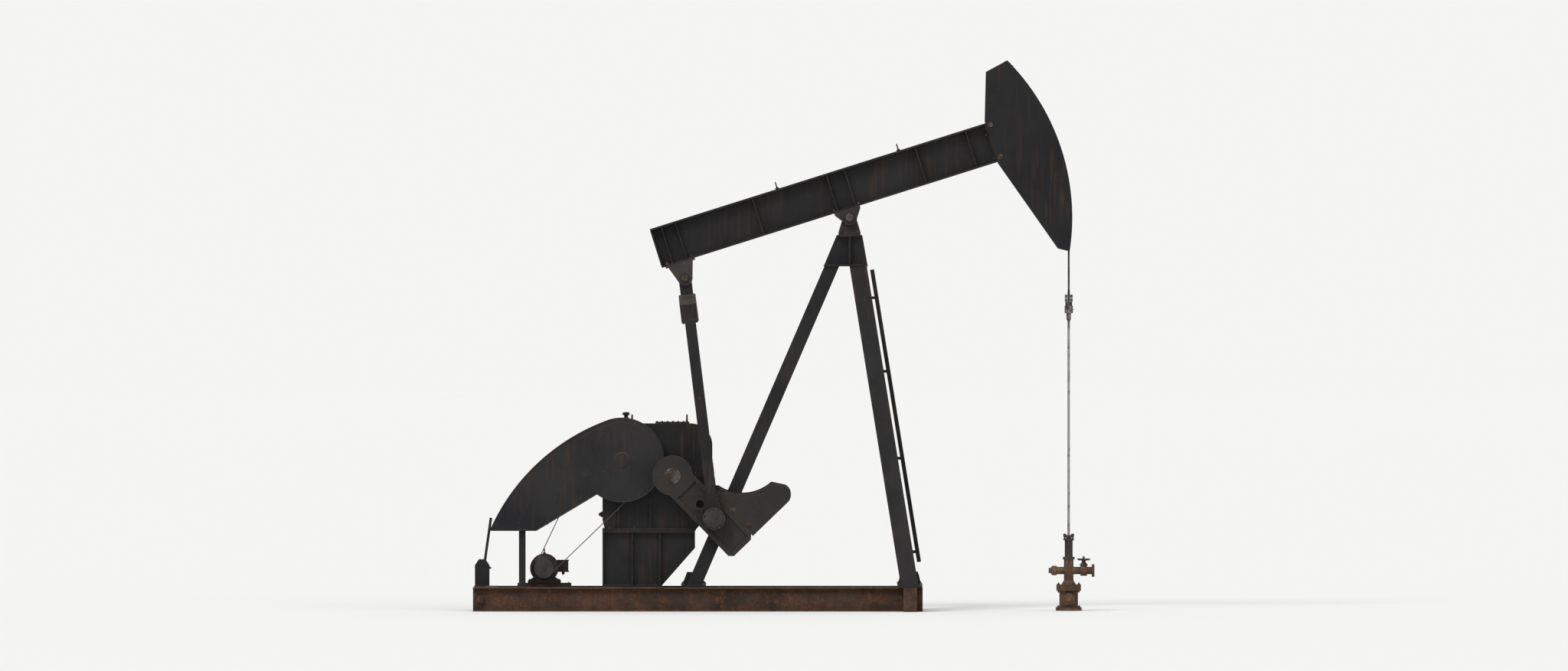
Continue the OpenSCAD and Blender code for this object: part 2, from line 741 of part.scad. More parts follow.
// Motor
motor_y = -350;
motor_foot_w = 130;
motor_foot_in = 40 + motor_foot_w / 2;
motor_feet = [motor_y + motor_foot_in, motor_y + motor_len - motor_foot_in];
module motor() {
    y0 = motor_y;
    y1 = motor_y + motor_len;
    fin_n = 32;
    fin_t = 8;
    fin_h = 25;
    bell_len = 62;
    nose_r = 90;
    nose_len = 40;
    fan_len = 90;
    fan_r = motor_r - 10;
    foot_half = motor_r + 30;
    foot_t = 30;
    saddle_half = motor_r * 0.6;
    saddle_h = 110;
    eye_r = 26;
    color(dark_paint) mech() translate([motor_at[0], 0, motor_at[1]]) {
        translate([0, y1 - bell_len + 2, 0]) rotate([90, 0, 0]) linear_extrude(motor_len - 2 * bell_len + 4) union() {
            circle(r = motor_r - fin_h);
            for (i = [0:fin_n - 1]) rotate(360 / fin_n * i)
                translate([0, -fin_t / 2]) square([motor_r, fin_t]);
        }
        y_bar(motor_r - 4, y0, y0 + bell_len);
        translate([0, y0, 0]) rotate([90, 0, 0]) cylinder(r1 = motor_r - 20, r2 = nose_r, h = nose_len);
        y_bar(motor_r - 4, y1 - bell_len, y1);
        translate([0, y1 + fan_len, 0]) rotate([90, 0, 0]) cylinder(r1 = fan_r - 40, r2 = fan_r, h = fan_len);
        y_bar(motor_shaft_r, sheave_y - 15, y0);
        for (y = motor_feet)
            xz_prism([
                [-foot_half, -motor_shaft_h], [foot_half, -motor_shaft_h], [foot_half, -motor_shaft_h + foot_t],
                [saddle_half, -motor_shaft_h + saddle_h], [-saddle_half, -motor_shaft_h + saddle_h],
                [-foot_half, -motor_shaft_h + foot_t]
            ], y - motor_foot_w / 2, y + motor_foot_w / 2);
        block([motor_r - 30, -110, -60], [motor_r + 130, 90, 120]);
        translate([0, (y0 + y1) / 2, motor_r - fin_h / 2]) cylinder(r = 22, h = 30);
        translate([0, (y0 + y1) / 2, motor_r + 16 + eye_r]) rotate([0, 90, 0])
            rotate_extrude() translate([eye_r, 0]) circle(r = 9);
    }
}
module motor_rails() {
    rail_half = 45;
    rail_reach = 400;
    slot_half = 15;
    slot_in = 20;
    slot_depth = 14;
    color(rust) mech() for (y = motor_feet)
        difference() {
            block([-motor_back - rail_reach, y - rail_half, skid_h],
                [-motor_back + rail_reach, y + rail_half, skid_h + rail_h]);
            block([-motor_back - rail_reach + slot_in, y - slot_half, skid_h + rail_h - slot_depth],
                [-motor_back + rail_reach - slot_in, y + slot_half, skid_h + rail_h + 1]);
        }
}

// Brake on the input shaft's far end, and its lever at the rear of the skid
module brake_drum() {
    drum_r = 190;
    drum_w = 90;
    wall = 30;
    web_t = 20;
    hub_r = 80;
    y0 = boss_half + 50;
    color(cast_grey) mech() {
        y_bar(input_shaft_r, boss_half, y0 + drum_w + 10, input_at);
        difference() {
            y_bar(drum_r, y0, y0 + drum_w, input_at);
            y_bar(drum_r - wall, y0 + web_t, y0 + drum_w + 1, input_at);
        }
        y_bar(hub_r, y0 - 20, y0 + drum_w, input_at);
    }
}
module brake_lever() {
    plate_half = 110;
    plate_h = 400;
    plate_t = 16;
    corner_x = 60;
    corner_z = 90;
    foot_half = 80;
    pivot_h = skid_h + 90;
    pivot_r = 28;
    lever_h = 900;
    lever_half = 20;
    lever_t = 14;
    lever_y = skid_y + 12;
    lean = 8;
    grip_r = 20;
    x = -skid_rear + plate_half + 10;
    top = skid_h + plate_h;
    color(paint) mech() {
        block([x - plate_half, skid_y - foot_half, skid_h], [x + plate_half, skid_y + foot_half, skid_h + plate_t]);
        xz_prism([
            [x - plate_half, skid_h], [x + plate_half, skid_h], [x + plate_half, top - corner_z],
            [x + plate_half - corner_x, top], [x - plate_half + corner_x, top], [x - plate_half, top - corner_z]
        ], skid_y - plate_t / 2, skid_y + plate_t / 2);
        y_bar(pivot_r, skid_y - plate_t / 2, skid_y + 40, [x, pivot_h]);
        translate([x, 0, pivot_h]) rotate([0, lean, 0]) {
            block([-lever_half, lever_y, 0], [lever_half, lever_y + lever_t, lever_h]);
            translate([0, lever_y + lever_t / 2, lever_h - 150]) cylinder(r = grip_r, h = 190);
        }
    }
}

// Wellhead
module well() translate([front_arm - mid_x, 0, 0]) children();
module casing_head() {
    flange_r = casing_r + 55;
    foot_t = 50;
    neck_h = tee_low - 15;
    top_t = 45;
    valve_h = 180;
    pipe_r = 52;
    cap_r = 85;
    cap_t = 32;
    reach = casing_r + 112;
    color(rust) well() difference() {
        union() {
            cylinder(r = flange_r, h = foot_t);
            cylinder(r = casing_r, h = neck_h);
            translate([0, 0, tee_low - top_t]) cylinder(r = flange_r - 10, h = top_t);
            y_bar(pipe_r, -reach + 2, reach - 2, [0, valve_h]);
            y_bar(cap_r, reach - cap_t, reach, [0, valve_h]);
            y_bar(cap_r, -reach, -reach + cap_t, [0, valve_h]);
        }
        translate([0, 0, -1]) cylinder(r = casing_r - 45, h = tee_low + 2);
    }
}
module flow_tee() {
    flange_t = 45;
    body_r = 72;
    pipe_r = 56;
    plug_x = -250;
    outlet_t = 40;
    outlet_flange_r = 95;
    bolt_circle_r = 76;
    bolt_hole_r = 9;
    valve_x = outlet_reach - 160;
    valve_r = 80;
    valve_half = 50;
    stem_r = 30;
    stem_h = 150;
    wheel_r = 85;
    wheel_t = 14;
    color(rust) well() difference() {
        union() {
            translate([0, 0, tee_low]) cylinder(r = casing_r + 45, h = flange_t);
            translate([0, 0, tee_low + 30]) cylinder(r1 = casing_r - 20, r2 = body_r, h = 80);
            translate([0, 0, tee_low + 90]) cylinder(r = body_r, h = box_low - tee_low - 90);
            x_bar(pipe_r, -200, outlet_reach - 5, 0, outlet_h);
            x_bar(body_r, plug_x, -180, 0, outlet_h);
            x_bar(outlet_flange_r, outlet_reach - outlet_t, outlet_reach, 0, outlet_h);
            x_bar(valve_r, valve_x - valve_half, valve_x + valve_half, 0, outlet_h);
            translate([valve_x, 0, outlet_h]) cylinder(r = stem_r, h = stem_h + 2);
            translate([valve_x, 0, outlet_h + stem_h]) cylinder(r = wheel_r, h = wheel_t);
        }
        translate([0, 0, tee_low - 1]) cylinder(r = well_bore_r, h = box_low - tee_low + 2);
        x_bar(outlet_r, 0, outlet_reach + 1, 0, outlet_h);
        for (a = [22.5:45:360])
            x_bar(bolt_hole_r, outlet_reach - outlet_t - 1, outlet_reach + 1,
                bolt_circle_r * cos(a), outlet_h + bolt_circle_r * sin(a));
    }
}
module stuffing_box() {
    nut_r = 88;
    nut_h = 40;
    body_r = 60;
    plate_r = 80;
    gap_low = stuffing_h - 50;
    gap_high = stuffing_h - 35;
    gland_r = 40;
    stud_x = 60;
    stud_r = 11;
    color(cast_grey) well() difference() {
        union() {
            translate([0, 0, box_low]) cylinder(r = nut_r, h = nut_h, $fn = 8);
            translate([0, 0, box_low + nut_h]) cylinder(r = body_r, h = gap_low - 20 - box_low - nut_h);
            translate([0, 0, gap_low - 30]) cylinder(r = plate_r, h = 30);
            translate([0, 0, gap_high]) cylinder(r = plate_r, h = stuffing_h - gap_high);
            translate([0, 0, gap_low - 10]) cylinder(r = gland_r, h = 40);
            for (x = [-stud_x, stud_x]) translate([x, 0, gap_low - 30]) cylinder(r = stud_r, h = 100);
        }
        translate([0, 0, box_low - 1]) cylinder(r = well_bore_r, h = 60);
        translate([0, 0, box_low]) cylinder(r = rod_r + run_gap, h = stuffing_h);
    }
}

// Walking beam
module walking_beam() {
    rib_t = 16;
    rib_at = [-beam_tail + 12, tail_u - 110, tail_u + 110, -1300, -140, 140, 1250, beam_nose - 320, beam_nose - 12];
    color(paint) beam_frame() {
        translate([0, 0, beam_mid]) yz_prism(i_profile(beam_d, beam_w, beam_tf, beam_tw), -beam_tail, beam_nose);
        for (x = rib_at)
            block([x - rib_t / 2, -beam_w / 2 + 12, beam_seat + beam_tf - 1],
                [x + rib_t / 2, beam_w / 2 - 12, beam_top - beam_tf + 1]);
    }
}

// Bearing saddle under the beam, with the shaft that turns in the centre bearing
module saddle() {
    half_x = 260;
    base_t = 34;
    color(cast_grey) beam_frame() {
        for (s = [-1, 1]) {
            y0 = s > 0 ? saddle_plate_in : -saddle_plate_in - saddle_plate_t;
            xz_prism(concat(
                [[-half_x + 60, beam_seat], [-half_x + 60, beam_seat - base_t]],
                arc([0, 0], saddle_shaft_r + 45, 200, 340, 20),
                [[half_x - 60, beam_seat - base_t], [half_x - 60, beam_seat]]
            ), y0, y0 + saddle_plate_t);
        }
        y_bar(saddle_shaft_r, -saddle_plate_in - saddle_plate_t - 20, saddle_plate_in + saddle_plate_t + 20);
    }
}

// Hanger under the beam's tail, with the bore for the equalizer's pin
module tail_bearing() {
    top = beam_seat;
    color(cast_grey) beam_frame() difference() {
        union() {
            block([tail_u - 230, -beam_w / 2, top - 30], [tail_u + 230, beam_w / 2, top]);
            for (s = [-1, 1]) {
                y0 = s > 0 ? hanger_in : -hanger_in - hanger_t;
                xz_prism(concat(
                    [[tail_u - 190, top - 30]],
                    arc([tail_u, -tail_drop], tail_pin_r + 50, 190, 350, 20),
                    [[tail_u + 190, top - 30]]
                ), y0, y0 + hanger_t);
            }
        }
        y_bar(tail_pin_r + run_gap, -hanger_in - hanger_t - 1, hanger_in + hanger_t + 1, [tail_u, -tail_drop]);
    }
}

// Horsehead
function head_corner(a, r) = r * [cos(a), sin(a)];
head_over = 300;
head_outline = [
    [beam_nose, beam_seat - 20], [beam_nose, beam_top + 30], head_back_top,
    head_back_top + 1.8 * (head_corner(head_up_angle, lip_r) - head_back_top),
    head_corner(0, lip_r + 2 * head_over), head_corner(-head_down_angle, lip_r + head_over),
    head_corner(-head_down_angle, lip_r - 60), head_back_bottom
];
module head_slab(r, y0, y1) {
    intersection() {
        xz_prism(head_outline, y0, y1);
        y_bar(r, y0, y1, [0, 0], $fn = 360);
    }
}
module horsehead_cheeks() {
    color(dark_paint) beam_frame() for (s = [-1, 1]) {
        y0 = s > 0 ? head_half - cheek_t : -head_half;
        head_slab(lip_r, y0, y0 + cheek_t);
    }
}

// Curved track, back plates, ribs and hinge blocks between the cheeks
module horsehead_frame() {
    inner = head_half - cheek_t;
    plate_t = 14;
    rib_half = inner - 4;
    color(dark_paint) beam_frame() {
        intersection() {
            xz_prism(head_outline, -inner, inner);
            difference() {
                y_bar(track_r, -inner, inner, [0, 0], $fn = 360);
                y_bar(track_r - track_t, -inner - 1, inner + 1, [0, 0], $fn = 360);
            }
        }
        intersection() {
            y_bar(track_r - track_t / 2, -inner, inner, [0, 0], $fn = 360);
            difference() {
                xz_prism(head_outline, -inner, inner);
                xz_prism([for (p = head_outline) p + [plate_t, 0]], -inner - 1, inner + 1);
            }
        }
        for (a = [-20, -10, 0, 10, 20])
            rotate([0, -a, 0]) intersection() {
                block([beam_nose + 30, -rib_half, -plate_t / 2], [track_r - track_t / 2, rib_half, plate_t / 2]);
                rotate([0, a, 0]) xz_prism(head_outline, -inner, inner);
            }
        for (z = [beam_seat + 60, beam_top - 60])
            block([beam_nose, -110, z - 45], [beam_nose + 60, 110, z + 45]);
    }
}

// Bridle ropes where they lie on the head's track, and the block that holds them
module head_ropes() {
    top = head_up_angle - 2.4;
    color(bare_steel) beam_frame() {
        for (y = [-rope_y, rope_y])
            translate([0, y, 0]) rotate([90, 0, 0]) rotate([0, 0, -beam_tilt])
                rotate_extrude(angle = beam_tilt + top, $fn = 360) translate([front_arm, 0]) circle(r = rope_r, $fn = 24);
        rotate([0, -top, 0]) block([track_r + seat_gap, -rope_y - 34, -seat_gap], [track_r + 56, rope_y + 34, 110]);
    }
}

// Pitmans
module equalizer() {
    half = pitman_y + pitman_w / 2;
    mid = -equalizer_drop;
    end_d = equalizer_d * 0.62;
    side = [
        [-half, mid - equalizer_d / 2], [half, mid - equalizer_d / 2], [half, mid - equalizer_d / 2 + end_d],
        [220, mid + equalizer_d / 2], [-220, mid + equalizer_d / 2], [-half, mid - equalizer_d / 2 + end_d]
    ];
    neck = 190;
    color(paint) pitman_frame() {
        yz_prism(side, -equalizer_w / 2, equalizer_w / 2);
        block([-neck / 2, -hanger_in + 10, mid], [neck / 2, hanger_in - 10, 0]);
        y_bar(tail_pin_r + 50, -hanger_in + 8, hanger_in - 8);
        y_bar(tail_pin_r, -hanger_in - hanger_t - 25, hanger_in + hanger_t + 25);
    }
}
module pitman(side) {
    top = -equalizer_drop - equalizer_d / 2;
    low = -pitman_len + wrist_r - 20;
    pitman_tf = 12;
    pitman_tw = 9;
    pitman_cap_t = 28;
    fork_h = 260;
    fork_low = 40;
    fork_half = wrist_r - 25;
    color(paint) pitman_frame() translate([0, side * pitman_y, 0]) difference() {
        union() {
            translate([0, 0, low]) linear_extrude(top - low)
                polygon(i_profile(pitman_w, pitman_d, pitman_tf, pitman_tw));
            block([-equalizer_w / 2, -pitman_w / 2, top - pitman_cap_t], [equalizer_w / 2, pitman_w / 2, top]);
            xz_prism([
                [-pitman_d / 2, low + fork_h], [pitman_d / 2, low + fork_h], [fork_half, -pitman_len + fork_low],
                [-fork_half, -pitman_len + fork_low]
            ], -pitman_w / 2, pitman_w / 2);
        }
        y_bar(wrist_r + seat_gap, -pitman_w, pitman_w, [0, -pitman_len]);
    }
}
module pitman_left() pitman(1);
module pitman_right() pitman(-1);
module wrist_bearings() {
    color(cast_grey) pitman_frame() both_sides() {
        y_bar(wrist_r, pitman_y - wrist_len / 2, pitman_y + wrist_len / 2, [0, -pitman_len]);
        y_bar(wrist_r - 35, pitman_y + wrist_len / 2, pitman_y + wrist_len / 2 + 22, [0, -pitman_len]);
        y_bar(wrist_pin_r, crank_out + wrist_pin_gap, pitman_y, [0, -pitman_len]);
    }
}

// Cranks
module crankshaft() {
    color(bare_steel) crank_frame() {
        y_bar(crankshaft_r, -crank_out, crank_out);
    }
}
module crank_outline() {
    chamfer = 60;
    circle(r = crank_hub_r);
    polygon([
        [0, -crank_w / 2], [crank_len - chamfer, -crank_w / 2], [crank_len, -crank_w / 2 + chamfer],
        [crank_len, crank_w / 2 - chamfer], [crank_len - chamfer, crank_w / 2], [0, crank_w / 2]
    ]);
}
module crank(side) {
    edge_t = 55;
    pocket = 34;
    boss = 40;
    holes = [for (i = [0:2]) crank_throw - i * pin_pitch];
    y0 = side > 0 ? crank_y : -crank_out;
    color(cast_grey) crank_frame() difference() {
        union() {
            translate([0, y0 + crank_t, 0]) rotate([90, 0, 0]) linear_extrude(crank_t) crank_outline();
            y_bar(crankshaft_r + 75, side > 0 ? crank_y - boss : -crank_y, side > 0 ? crank_y : -crank_y + boss);
        }
        for (y = [y0 - 1, y0 + crank_t - pocket])
            translate([0, y + pocket + 1, 0]) rotate([90, 0, 0]) linear_extrude(pocket + 1) difference() {
                translate([crank_hub_r - 10, -crank_w / 2 + edge_t])
                    square([crank_len - crank_hub_r - edge_t, crank_w - 2 * edge_t]);
                for (x = holes) translate([x, 0]) circle(r = wrist_pin_r + 34);
            }
        for (x = holes) y_bar(wrist_pin_r, y0 - 2, y0 + crank_t + 2, [x, 0]);
        y_bar(crankshaft_r + seat_gap, y0 - 100, y0 + crank_t + 100);
    }
}
module crank_left() crank(1);
module crank_right() crank(-1);

// Counterweight bolted along one flank of a crank
weight_low = crank_w / 2;
weight_tip = crank_len - 20;
weight_rear = weight_tip - weight_len;
weight_nose_r = weight_len * 0.146;
weight_sweep_r = weight_len * 0.621;
weight_outline = concat(
    [[weight_rear, weight_low + seat_gap], [weight_tip, weight_low + seat_gap]],
    arc([weight_tip - weight_nose_r, weight_reach - weight_nose_r], weight_nose_r, 0, 110, 12),
    [[weight_tip - weight_len * 0.369, weight_reach - weight_len * 0.126]],
    arc([weight_rear + 10, weight_reach - weight_len * 0.107], weight_sweep_r, -8, -78, 14)
);
module weight(side) {
    y0 = side > 0 ? weight_in : -crank_out;
    color(cast_grey) crank_frame() xz_prism(weight_outline, y0, y0 + crank_out - weight_in);
}
module weight_left() weight(1);
module weight_right() weight(-1);

// Rod string end
module hanging_ropes() {
    color(bare_steel) well() for (y = [-rope_y, rope_y])
        translate([0, y, carrier_h]) cylinder(r = rope_r, h = bearing_h - carrier_h, $fn = 24);
}
module carrier_bar() {
    bar_h = 110;
    bar_w = 120;
    socket_r = 34;
    half = rope_y + 55;
    color(bare_steel) well() difference() {
        union() {
            block([-bar_w / 2, -half, carrier_h - bar_h], [bar_w / 2, half, carrier_h]);
            for (y = [-rope_y, rope_y]) translate([0, y, carrier_h - bar_h - 90]) cylinder(r = socket_r, h = 91);
            translate([0, 0, carrier_h]) cylinder(r = 52, h = 60);
        }
        translate([0, 0, carrier_h - 300]) cylinder(r = rod_r + seat_gap, h = 400);
    }
}
module polished_rod() {
    color(bare_steel) well() {
        translate([0, 0, rod_low]) cylinder(r = rod_r, h = rod_high - rod_low);
        difference() {
            block([-60, -48, carrier_h + 60], [60, 48, carrier_h + 170]);
            translate([0, 0, carrier_h]) cylinder(r = rod_r - 1, h = 200);
        }
    }
}

skid_beam_left();
skid_beam_right();
skid_crossmembers();
front_outriggers();
front_leg_left();
front_leg_right();
rear_leg_left();
rear_leg_right();
front_braces();
rear_braces();
post_cap();
ladder();
centre_bearing();
pedestal();
gearbox_case();
gearbox_cover();
large_sheave();
belts();
belt_guard();
motor();
motor_sheave();
motor_rails();
brake_drum();
brake_lever();
casing_head();
flow_tee();
stuffing_box();
walking_beam();
saddle();
tail_bearing();
horsehead_cheeks();
horsehead_frame();
head_ropes();
equalizer();
pitman_left();
pitman_right();
wrist_bearings();
crankshaft();
crank_left();
crank_right();
weight_left();
weight_right();
hanging_ropes();
carrier_bar();
polished_rod();
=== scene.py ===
"""Looks of a beam pumping unit: finishes, fasteners, ropes, fittings, welds and the stage."""
import math

import bmesh
import bpy
import numpy as np
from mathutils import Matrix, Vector


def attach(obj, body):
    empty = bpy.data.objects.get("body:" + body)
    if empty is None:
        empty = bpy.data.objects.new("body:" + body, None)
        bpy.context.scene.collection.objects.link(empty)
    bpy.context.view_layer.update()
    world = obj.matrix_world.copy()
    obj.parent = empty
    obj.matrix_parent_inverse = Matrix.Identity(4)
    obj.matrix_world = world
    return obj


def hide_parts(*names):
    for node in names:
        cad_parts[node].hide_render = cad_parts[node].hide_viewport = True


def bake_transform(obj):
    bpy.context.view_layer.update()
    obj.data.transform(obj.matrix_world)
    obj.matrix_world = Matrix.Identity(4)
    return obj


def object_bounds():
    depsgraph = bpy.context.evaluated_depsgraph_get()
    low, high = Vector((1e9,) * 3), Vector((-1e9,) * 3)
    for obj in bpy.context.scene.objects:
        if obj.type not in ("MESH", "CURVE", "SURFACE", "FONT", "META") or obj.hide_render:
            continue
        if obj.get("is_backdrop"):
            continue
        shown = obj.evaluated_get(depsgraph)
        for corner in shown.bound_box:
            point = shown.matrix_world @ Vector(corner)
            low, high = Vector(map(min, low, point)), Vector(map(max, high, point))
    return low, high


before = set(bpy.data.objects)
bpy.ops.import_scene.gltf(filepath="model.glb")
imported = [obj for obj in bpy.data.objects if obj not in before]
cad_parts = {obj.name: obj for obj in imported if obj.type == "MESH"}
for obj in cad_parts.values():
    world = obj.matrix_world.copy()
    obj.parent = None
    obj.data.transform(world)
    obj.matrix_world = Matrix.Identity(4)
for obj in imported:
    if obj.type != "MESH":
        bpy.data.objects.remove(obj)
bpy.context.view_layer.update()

bl_info = {
    "name": "Beam pumping unit",
    "version": (1, 0, 0),
    "blender": (4, 5, 0),
    "location": "3D View > Sidebar > Pumping Unit",
    "description": "Finishes, fasteners, ropes and fittings of a beam pumping unit",
    "category": "Object",
}

# Directions
AHEAD, BACK, LEFT, RIGHT, UP, DOWN = (1, 0, 0), (-1, 0, 0), (0, 1, 0), (0, -1, 0), (0, 0, 1), (0, 0, -1)

# Places of the mechanism in metres, as (x, z). Here x counts from the centre bearing, z from the ground
MID = -0.979
SHAFT_AT, MIDDLE_AT = np.array([-2.640, 2.030]), np.array([-3.070, 2.090])
INPUT_AT, MOTOR_AT = np.array([-3.400, 2.260]), np.array([-4.560, 0.640])
CARRIER_H = 4.560
CRANK_ANGLE = math.radians(46)
THROW, REAR_ARM, TAIL_DROP, PITMAN, FRONT_ARM = 0.890, 2.620, 0.119, 3.615, 3.277

# The same in the frame of the solids, whose middle is at MID, with the linkage worked out from its bars
BEARING = np.array([-MID, 5.880])
SHAFT = SHAFT_AT - (MID, 0)
WRIST = SHAFT + THROW * np.array([math.cos(CRANK_ANGLE), -math.sin(CRANK_ANGLE)])
TO_WRIST = WRIST - BEARING
WRIST_FAR = float(np.hypot(*TO_WRIST))
TAIL_DIR = math.atan2(TO_WRIST[1], TO_WRIST[0]) - math.acos(
    (REAR_ARM**2 + WRIST_FAR**2 - PITMAN**2) / (2 * REAR_ARM * WRIST_FAR))
TAIL = BEARING + REAR_ARM * np.array([math.cos(TAIL_DIR), math.sin(TAIL_DIR)])
TILT = TAIL_DIR + math.pi - math.asin(TAIL_DROP / REAR_ARM)
TAIL_U = -math.sqrt(REAR_ARM**2 - TAIL_DROP**2)
LEAN = math.atan2(WRIST[0] - TAIL[0], TAIL[1] - WRIST[1])
WELL_X = FRONT_ARM - MID

# Feet of the legs, as (x, y), and the faces that fittings sit on
FRONT_FOOT, REAR_FOOT = (0.900, 0.850), (-2.330, 0.450)
SKID_TOP, FOOT_TOP, PEDESTAL_FOOT, GEAR_FOOT = 0.360, 0.390, 0.388, 1.236
GEAR_REAR, GEAR_FACE, MIDDLE_FACE = -3.690, 0.410, 0.390
GUARD_FACE, CRANK_FACE, BRAKE_Y = -0.660, 0.880, 0.505
BRAKE_PIVOT = (-5.500, 0.450)
BEAM_FLANGE = 0.152

# Ends of the guard's stiffening bars, as (x, z)
GUARD_BARS = np.array([
    [(-4.95, 1.30), (-4.66, 1.93)], [(-4.52, 1.30), (-4.13, 2.46)], [(-4.03, 1.66), (-3.68, 2.78)]])

# The bridle's anchor, as an angle above the beam, and the radius of the track that the ropes lie on
ANCHOR_ANGLE = math.radians(25.0)
ROPE_SEAT, SEAT_GAP = 0.014, 0.0002
TRACK = FRONT_ARM - ROPE_SEAT - SEAT_GAP


def in_plane(origin, angle):
    """A frame turned about Y: its first axis is X turned up by the angle, its third axis Z turned with it."""
    c, s = math.cos(angle), math.sin(angle)
    return np.array([origin[0], 0.0, origin[1]]), np.array([[c, 0, s], [0, 1, 0], [-s, 0, c]])


SOLIDS_FRAME = in_plane((0.0, 0.0), 0.0)
BASE_FRAME = in_plane((-MID, 0.0), 0.0)
BEAM_FRAME = in_plane(BEARING, TILT)
PITMAN_FRAME = in_plane(TAIL, LEAN)
CRANK_FRAME = in_plane(SHAFT, -CRANK_ANGLE)
WELL_FRAME = in_plane((WELL_X, 0.0), 0.0)


# Points


def pair(half, middle=0.0):
    """Two places, as far to one side of the middle as to the other."""
    return middle - half, middle + half


def spots(xs, ys, zs):
    """Points at every x, y and z of the three lists; a number stands for a list of one."""
    return np.stack(np.meshgrid(xs, ys, zs, indexing="ij"), -1).reshape(-1, 3)


def round_angles(count, start=0.0):
    """Angles all round, evenly spread; start moves them on by a share of one step."""
    return (np.arange(count) + start) * 2 * math.pi / count


def round_points(centre, radius, angles):
    """Points of a circle, as (x, z)."""
    return np.asarray(centre) + radius * np.column_stack([np.cos(angles), np.sin(angles)])


def arc_points(centre, radius, start, end, n):
    """Points of an arc between two angles in degrees, as (x, z)."""
    return round_points(centre, radius, np.radians(np.linspace(start, end, n)))


def upright(points, y):
    """Points (x, z) put into the upright plane at y."""
    return np.column_stack([points[:, 0], np.full(len(points), y), points[:, 1]])


def level(points, z):
    """Points (x, y) put into the level plane at z."""
    return np.column_stack([points, np.full(len(points), z)])


def line(a, b, step=0.010):
    """Points from a to b, evenly spread."""
    a, b = np.asarray(a, float), np.asarray(b, float)
    n = max(2, int(np.linalg.norm(b - a) / step) + 1)
    return a + (b - a) * np.linspace(0, 1, n)[:, None]


def unit_rows(vectors):
    """Each row of an array made one long."""
    return vectors / np.linalg.norm(vectors, axis=1)[:, None]


def lengths(path):
    """The length along a path up to each of its points."""
    return np.concatenate([[0], np.cumsum(np.linalg.norm(np.diff(path, axis=0), axis=1))])


# Shapes: each is (points, quads, caps), with whole arrays of points and of quads


def grid_quads(rows, cols, wrap_rows=False):
    """Quads of a grid of points whose rows close on themselves; wrap_rows joins its first and last row."""
    i = np.arange(rows if wrap_rows else rows - 1)[:, None]
    j = np.arange(cols)[None, :]
    a = i * cols + j
    b = i * cols + (j + 1) % cols
    below = ((i + 1) % rows) * cols
    return np.stack([a, b, below + (j + 1) % cols, below + j], -1).reshape(-1, 4)


def ends(rows, cols):
    """The first and last row of a grid of points as two caps."""
    last = (rows - 1) * cols
    return [list(range(cols))[::-1], list(range(last, last + cols))]


def lathe(profile, sides=32, hexagon=None):
    """A turned shape: radius r(k) and height z(k) of the profile, turned through the angle t, at
    (r cos t, r sin t, z). Where hexagon is 1, r is divided by the cosine that makes a circle a hexagon."""
    p = np.asarray(profile, float)
    t = round_angles(sides)
    r = np.repeat(p[:, :1], sides, 1)
    if hexagon is not None:
        turn = (t + math.pi / 6) % (math.pi / 3) - math.pi / 6
        flat = math.cos(math.pi / 6) / np.cos(turn)
        r = np.where(np.asarray(hexagon)[:, None] > 0, r * flat[None, :], r)
    points = np.stack([r * np.cos(t), r * np.sin(t), np.repeat(p[:, 1:2], sides, 1)], -1)
    return points.reshape(-1, 3), grid_quads(len(p), sides), ends(len(p), sides)


def ring(profile, sides=48):
    """A closed ring: the closed profile (r, z) turned through the whole circle, at (r cos t, r sin t, z)."""
    p = np.asarray(profile, float)
    t = round_angles(sides)[:, None]
    points = np.stack([p[:, 0] * np.cos(t), p[:, 0] * np.sin(t), np.repeat(p[None, :, 1], sides, 0)], -1)
    return points.reshape(-1, 3), grid_quads(sides, len(p), True), []


def torus(big, small, sides=32, around=10):
    """A round ring: the circle of radius small at the distance big from the axis, turned round it."""
    return ring(round_points((big, 0.0), small, round_angles(around)), sides)


def slab(outline, thick, edge=0.003):
    """A plate with softened edges: the outline at four levels, the first and last drawn in by 1.4 edge."""
    o = np.asarray(outline, float)
    drawn = o - unit_rows(o - o.mean(0)) * edge * 1.4
    levels = [(drawn, 0.0), (o, edge), (o, thick - edge), (drawn, thick)]
    points = np.concatenate([level(xy, z) for xy, z in levels])
    return points, grid_quads(len(levels), len(o)), ends(len(levels), len(o))


def rectangle(width, depth):
    """The corners of a rectangle about the origin."""
    w, d = width / 2, depth / 2
    return np.array([[-w, -d], [w, -d], [w, d], [-w, d]])


def swept(path, radius, side, up, closed=False):
    """A skin round a path: path(s) + r(s, t) (side cos t + up sin t), for the angles t all round."""
    sides = radius.shape[1]
    t = round_angles(sides)[None, :, None]
    points = path[:, None] + radius[..., None] * (np.cos(t) * side[:, None] + np.sin(t) * up[:, None])
    caps = [] if closed else ends(len(path), sides)
    return points.reshape(-1, 3), grid_quads(len(path), sides, closed), caps


def tube(path, radius, sides=8, ripple=0.0, pitch=0.02, closed=False, guide=LEFT):
    """A round bar along a path: the radius R (1 + ripple sin(2 pi s / pitch)) at the length s."""
    p = np.asarray(path, float)
    ahead = unit_rows(np.roll(p, -1, 0) - np.roll(p, 1, 0) if closed else np.gradient(p, axis=0))
    side = unit_rows(np.cross(ahead, np.asarray(guide, float)))
    r = radius * (1 + ripple * np.sin(2 * math.pi * lengths(p) / pitch))
    return swept(p, np.repeat(r[:, None], sides, 1), side, np.cross(side, ahead), closed)


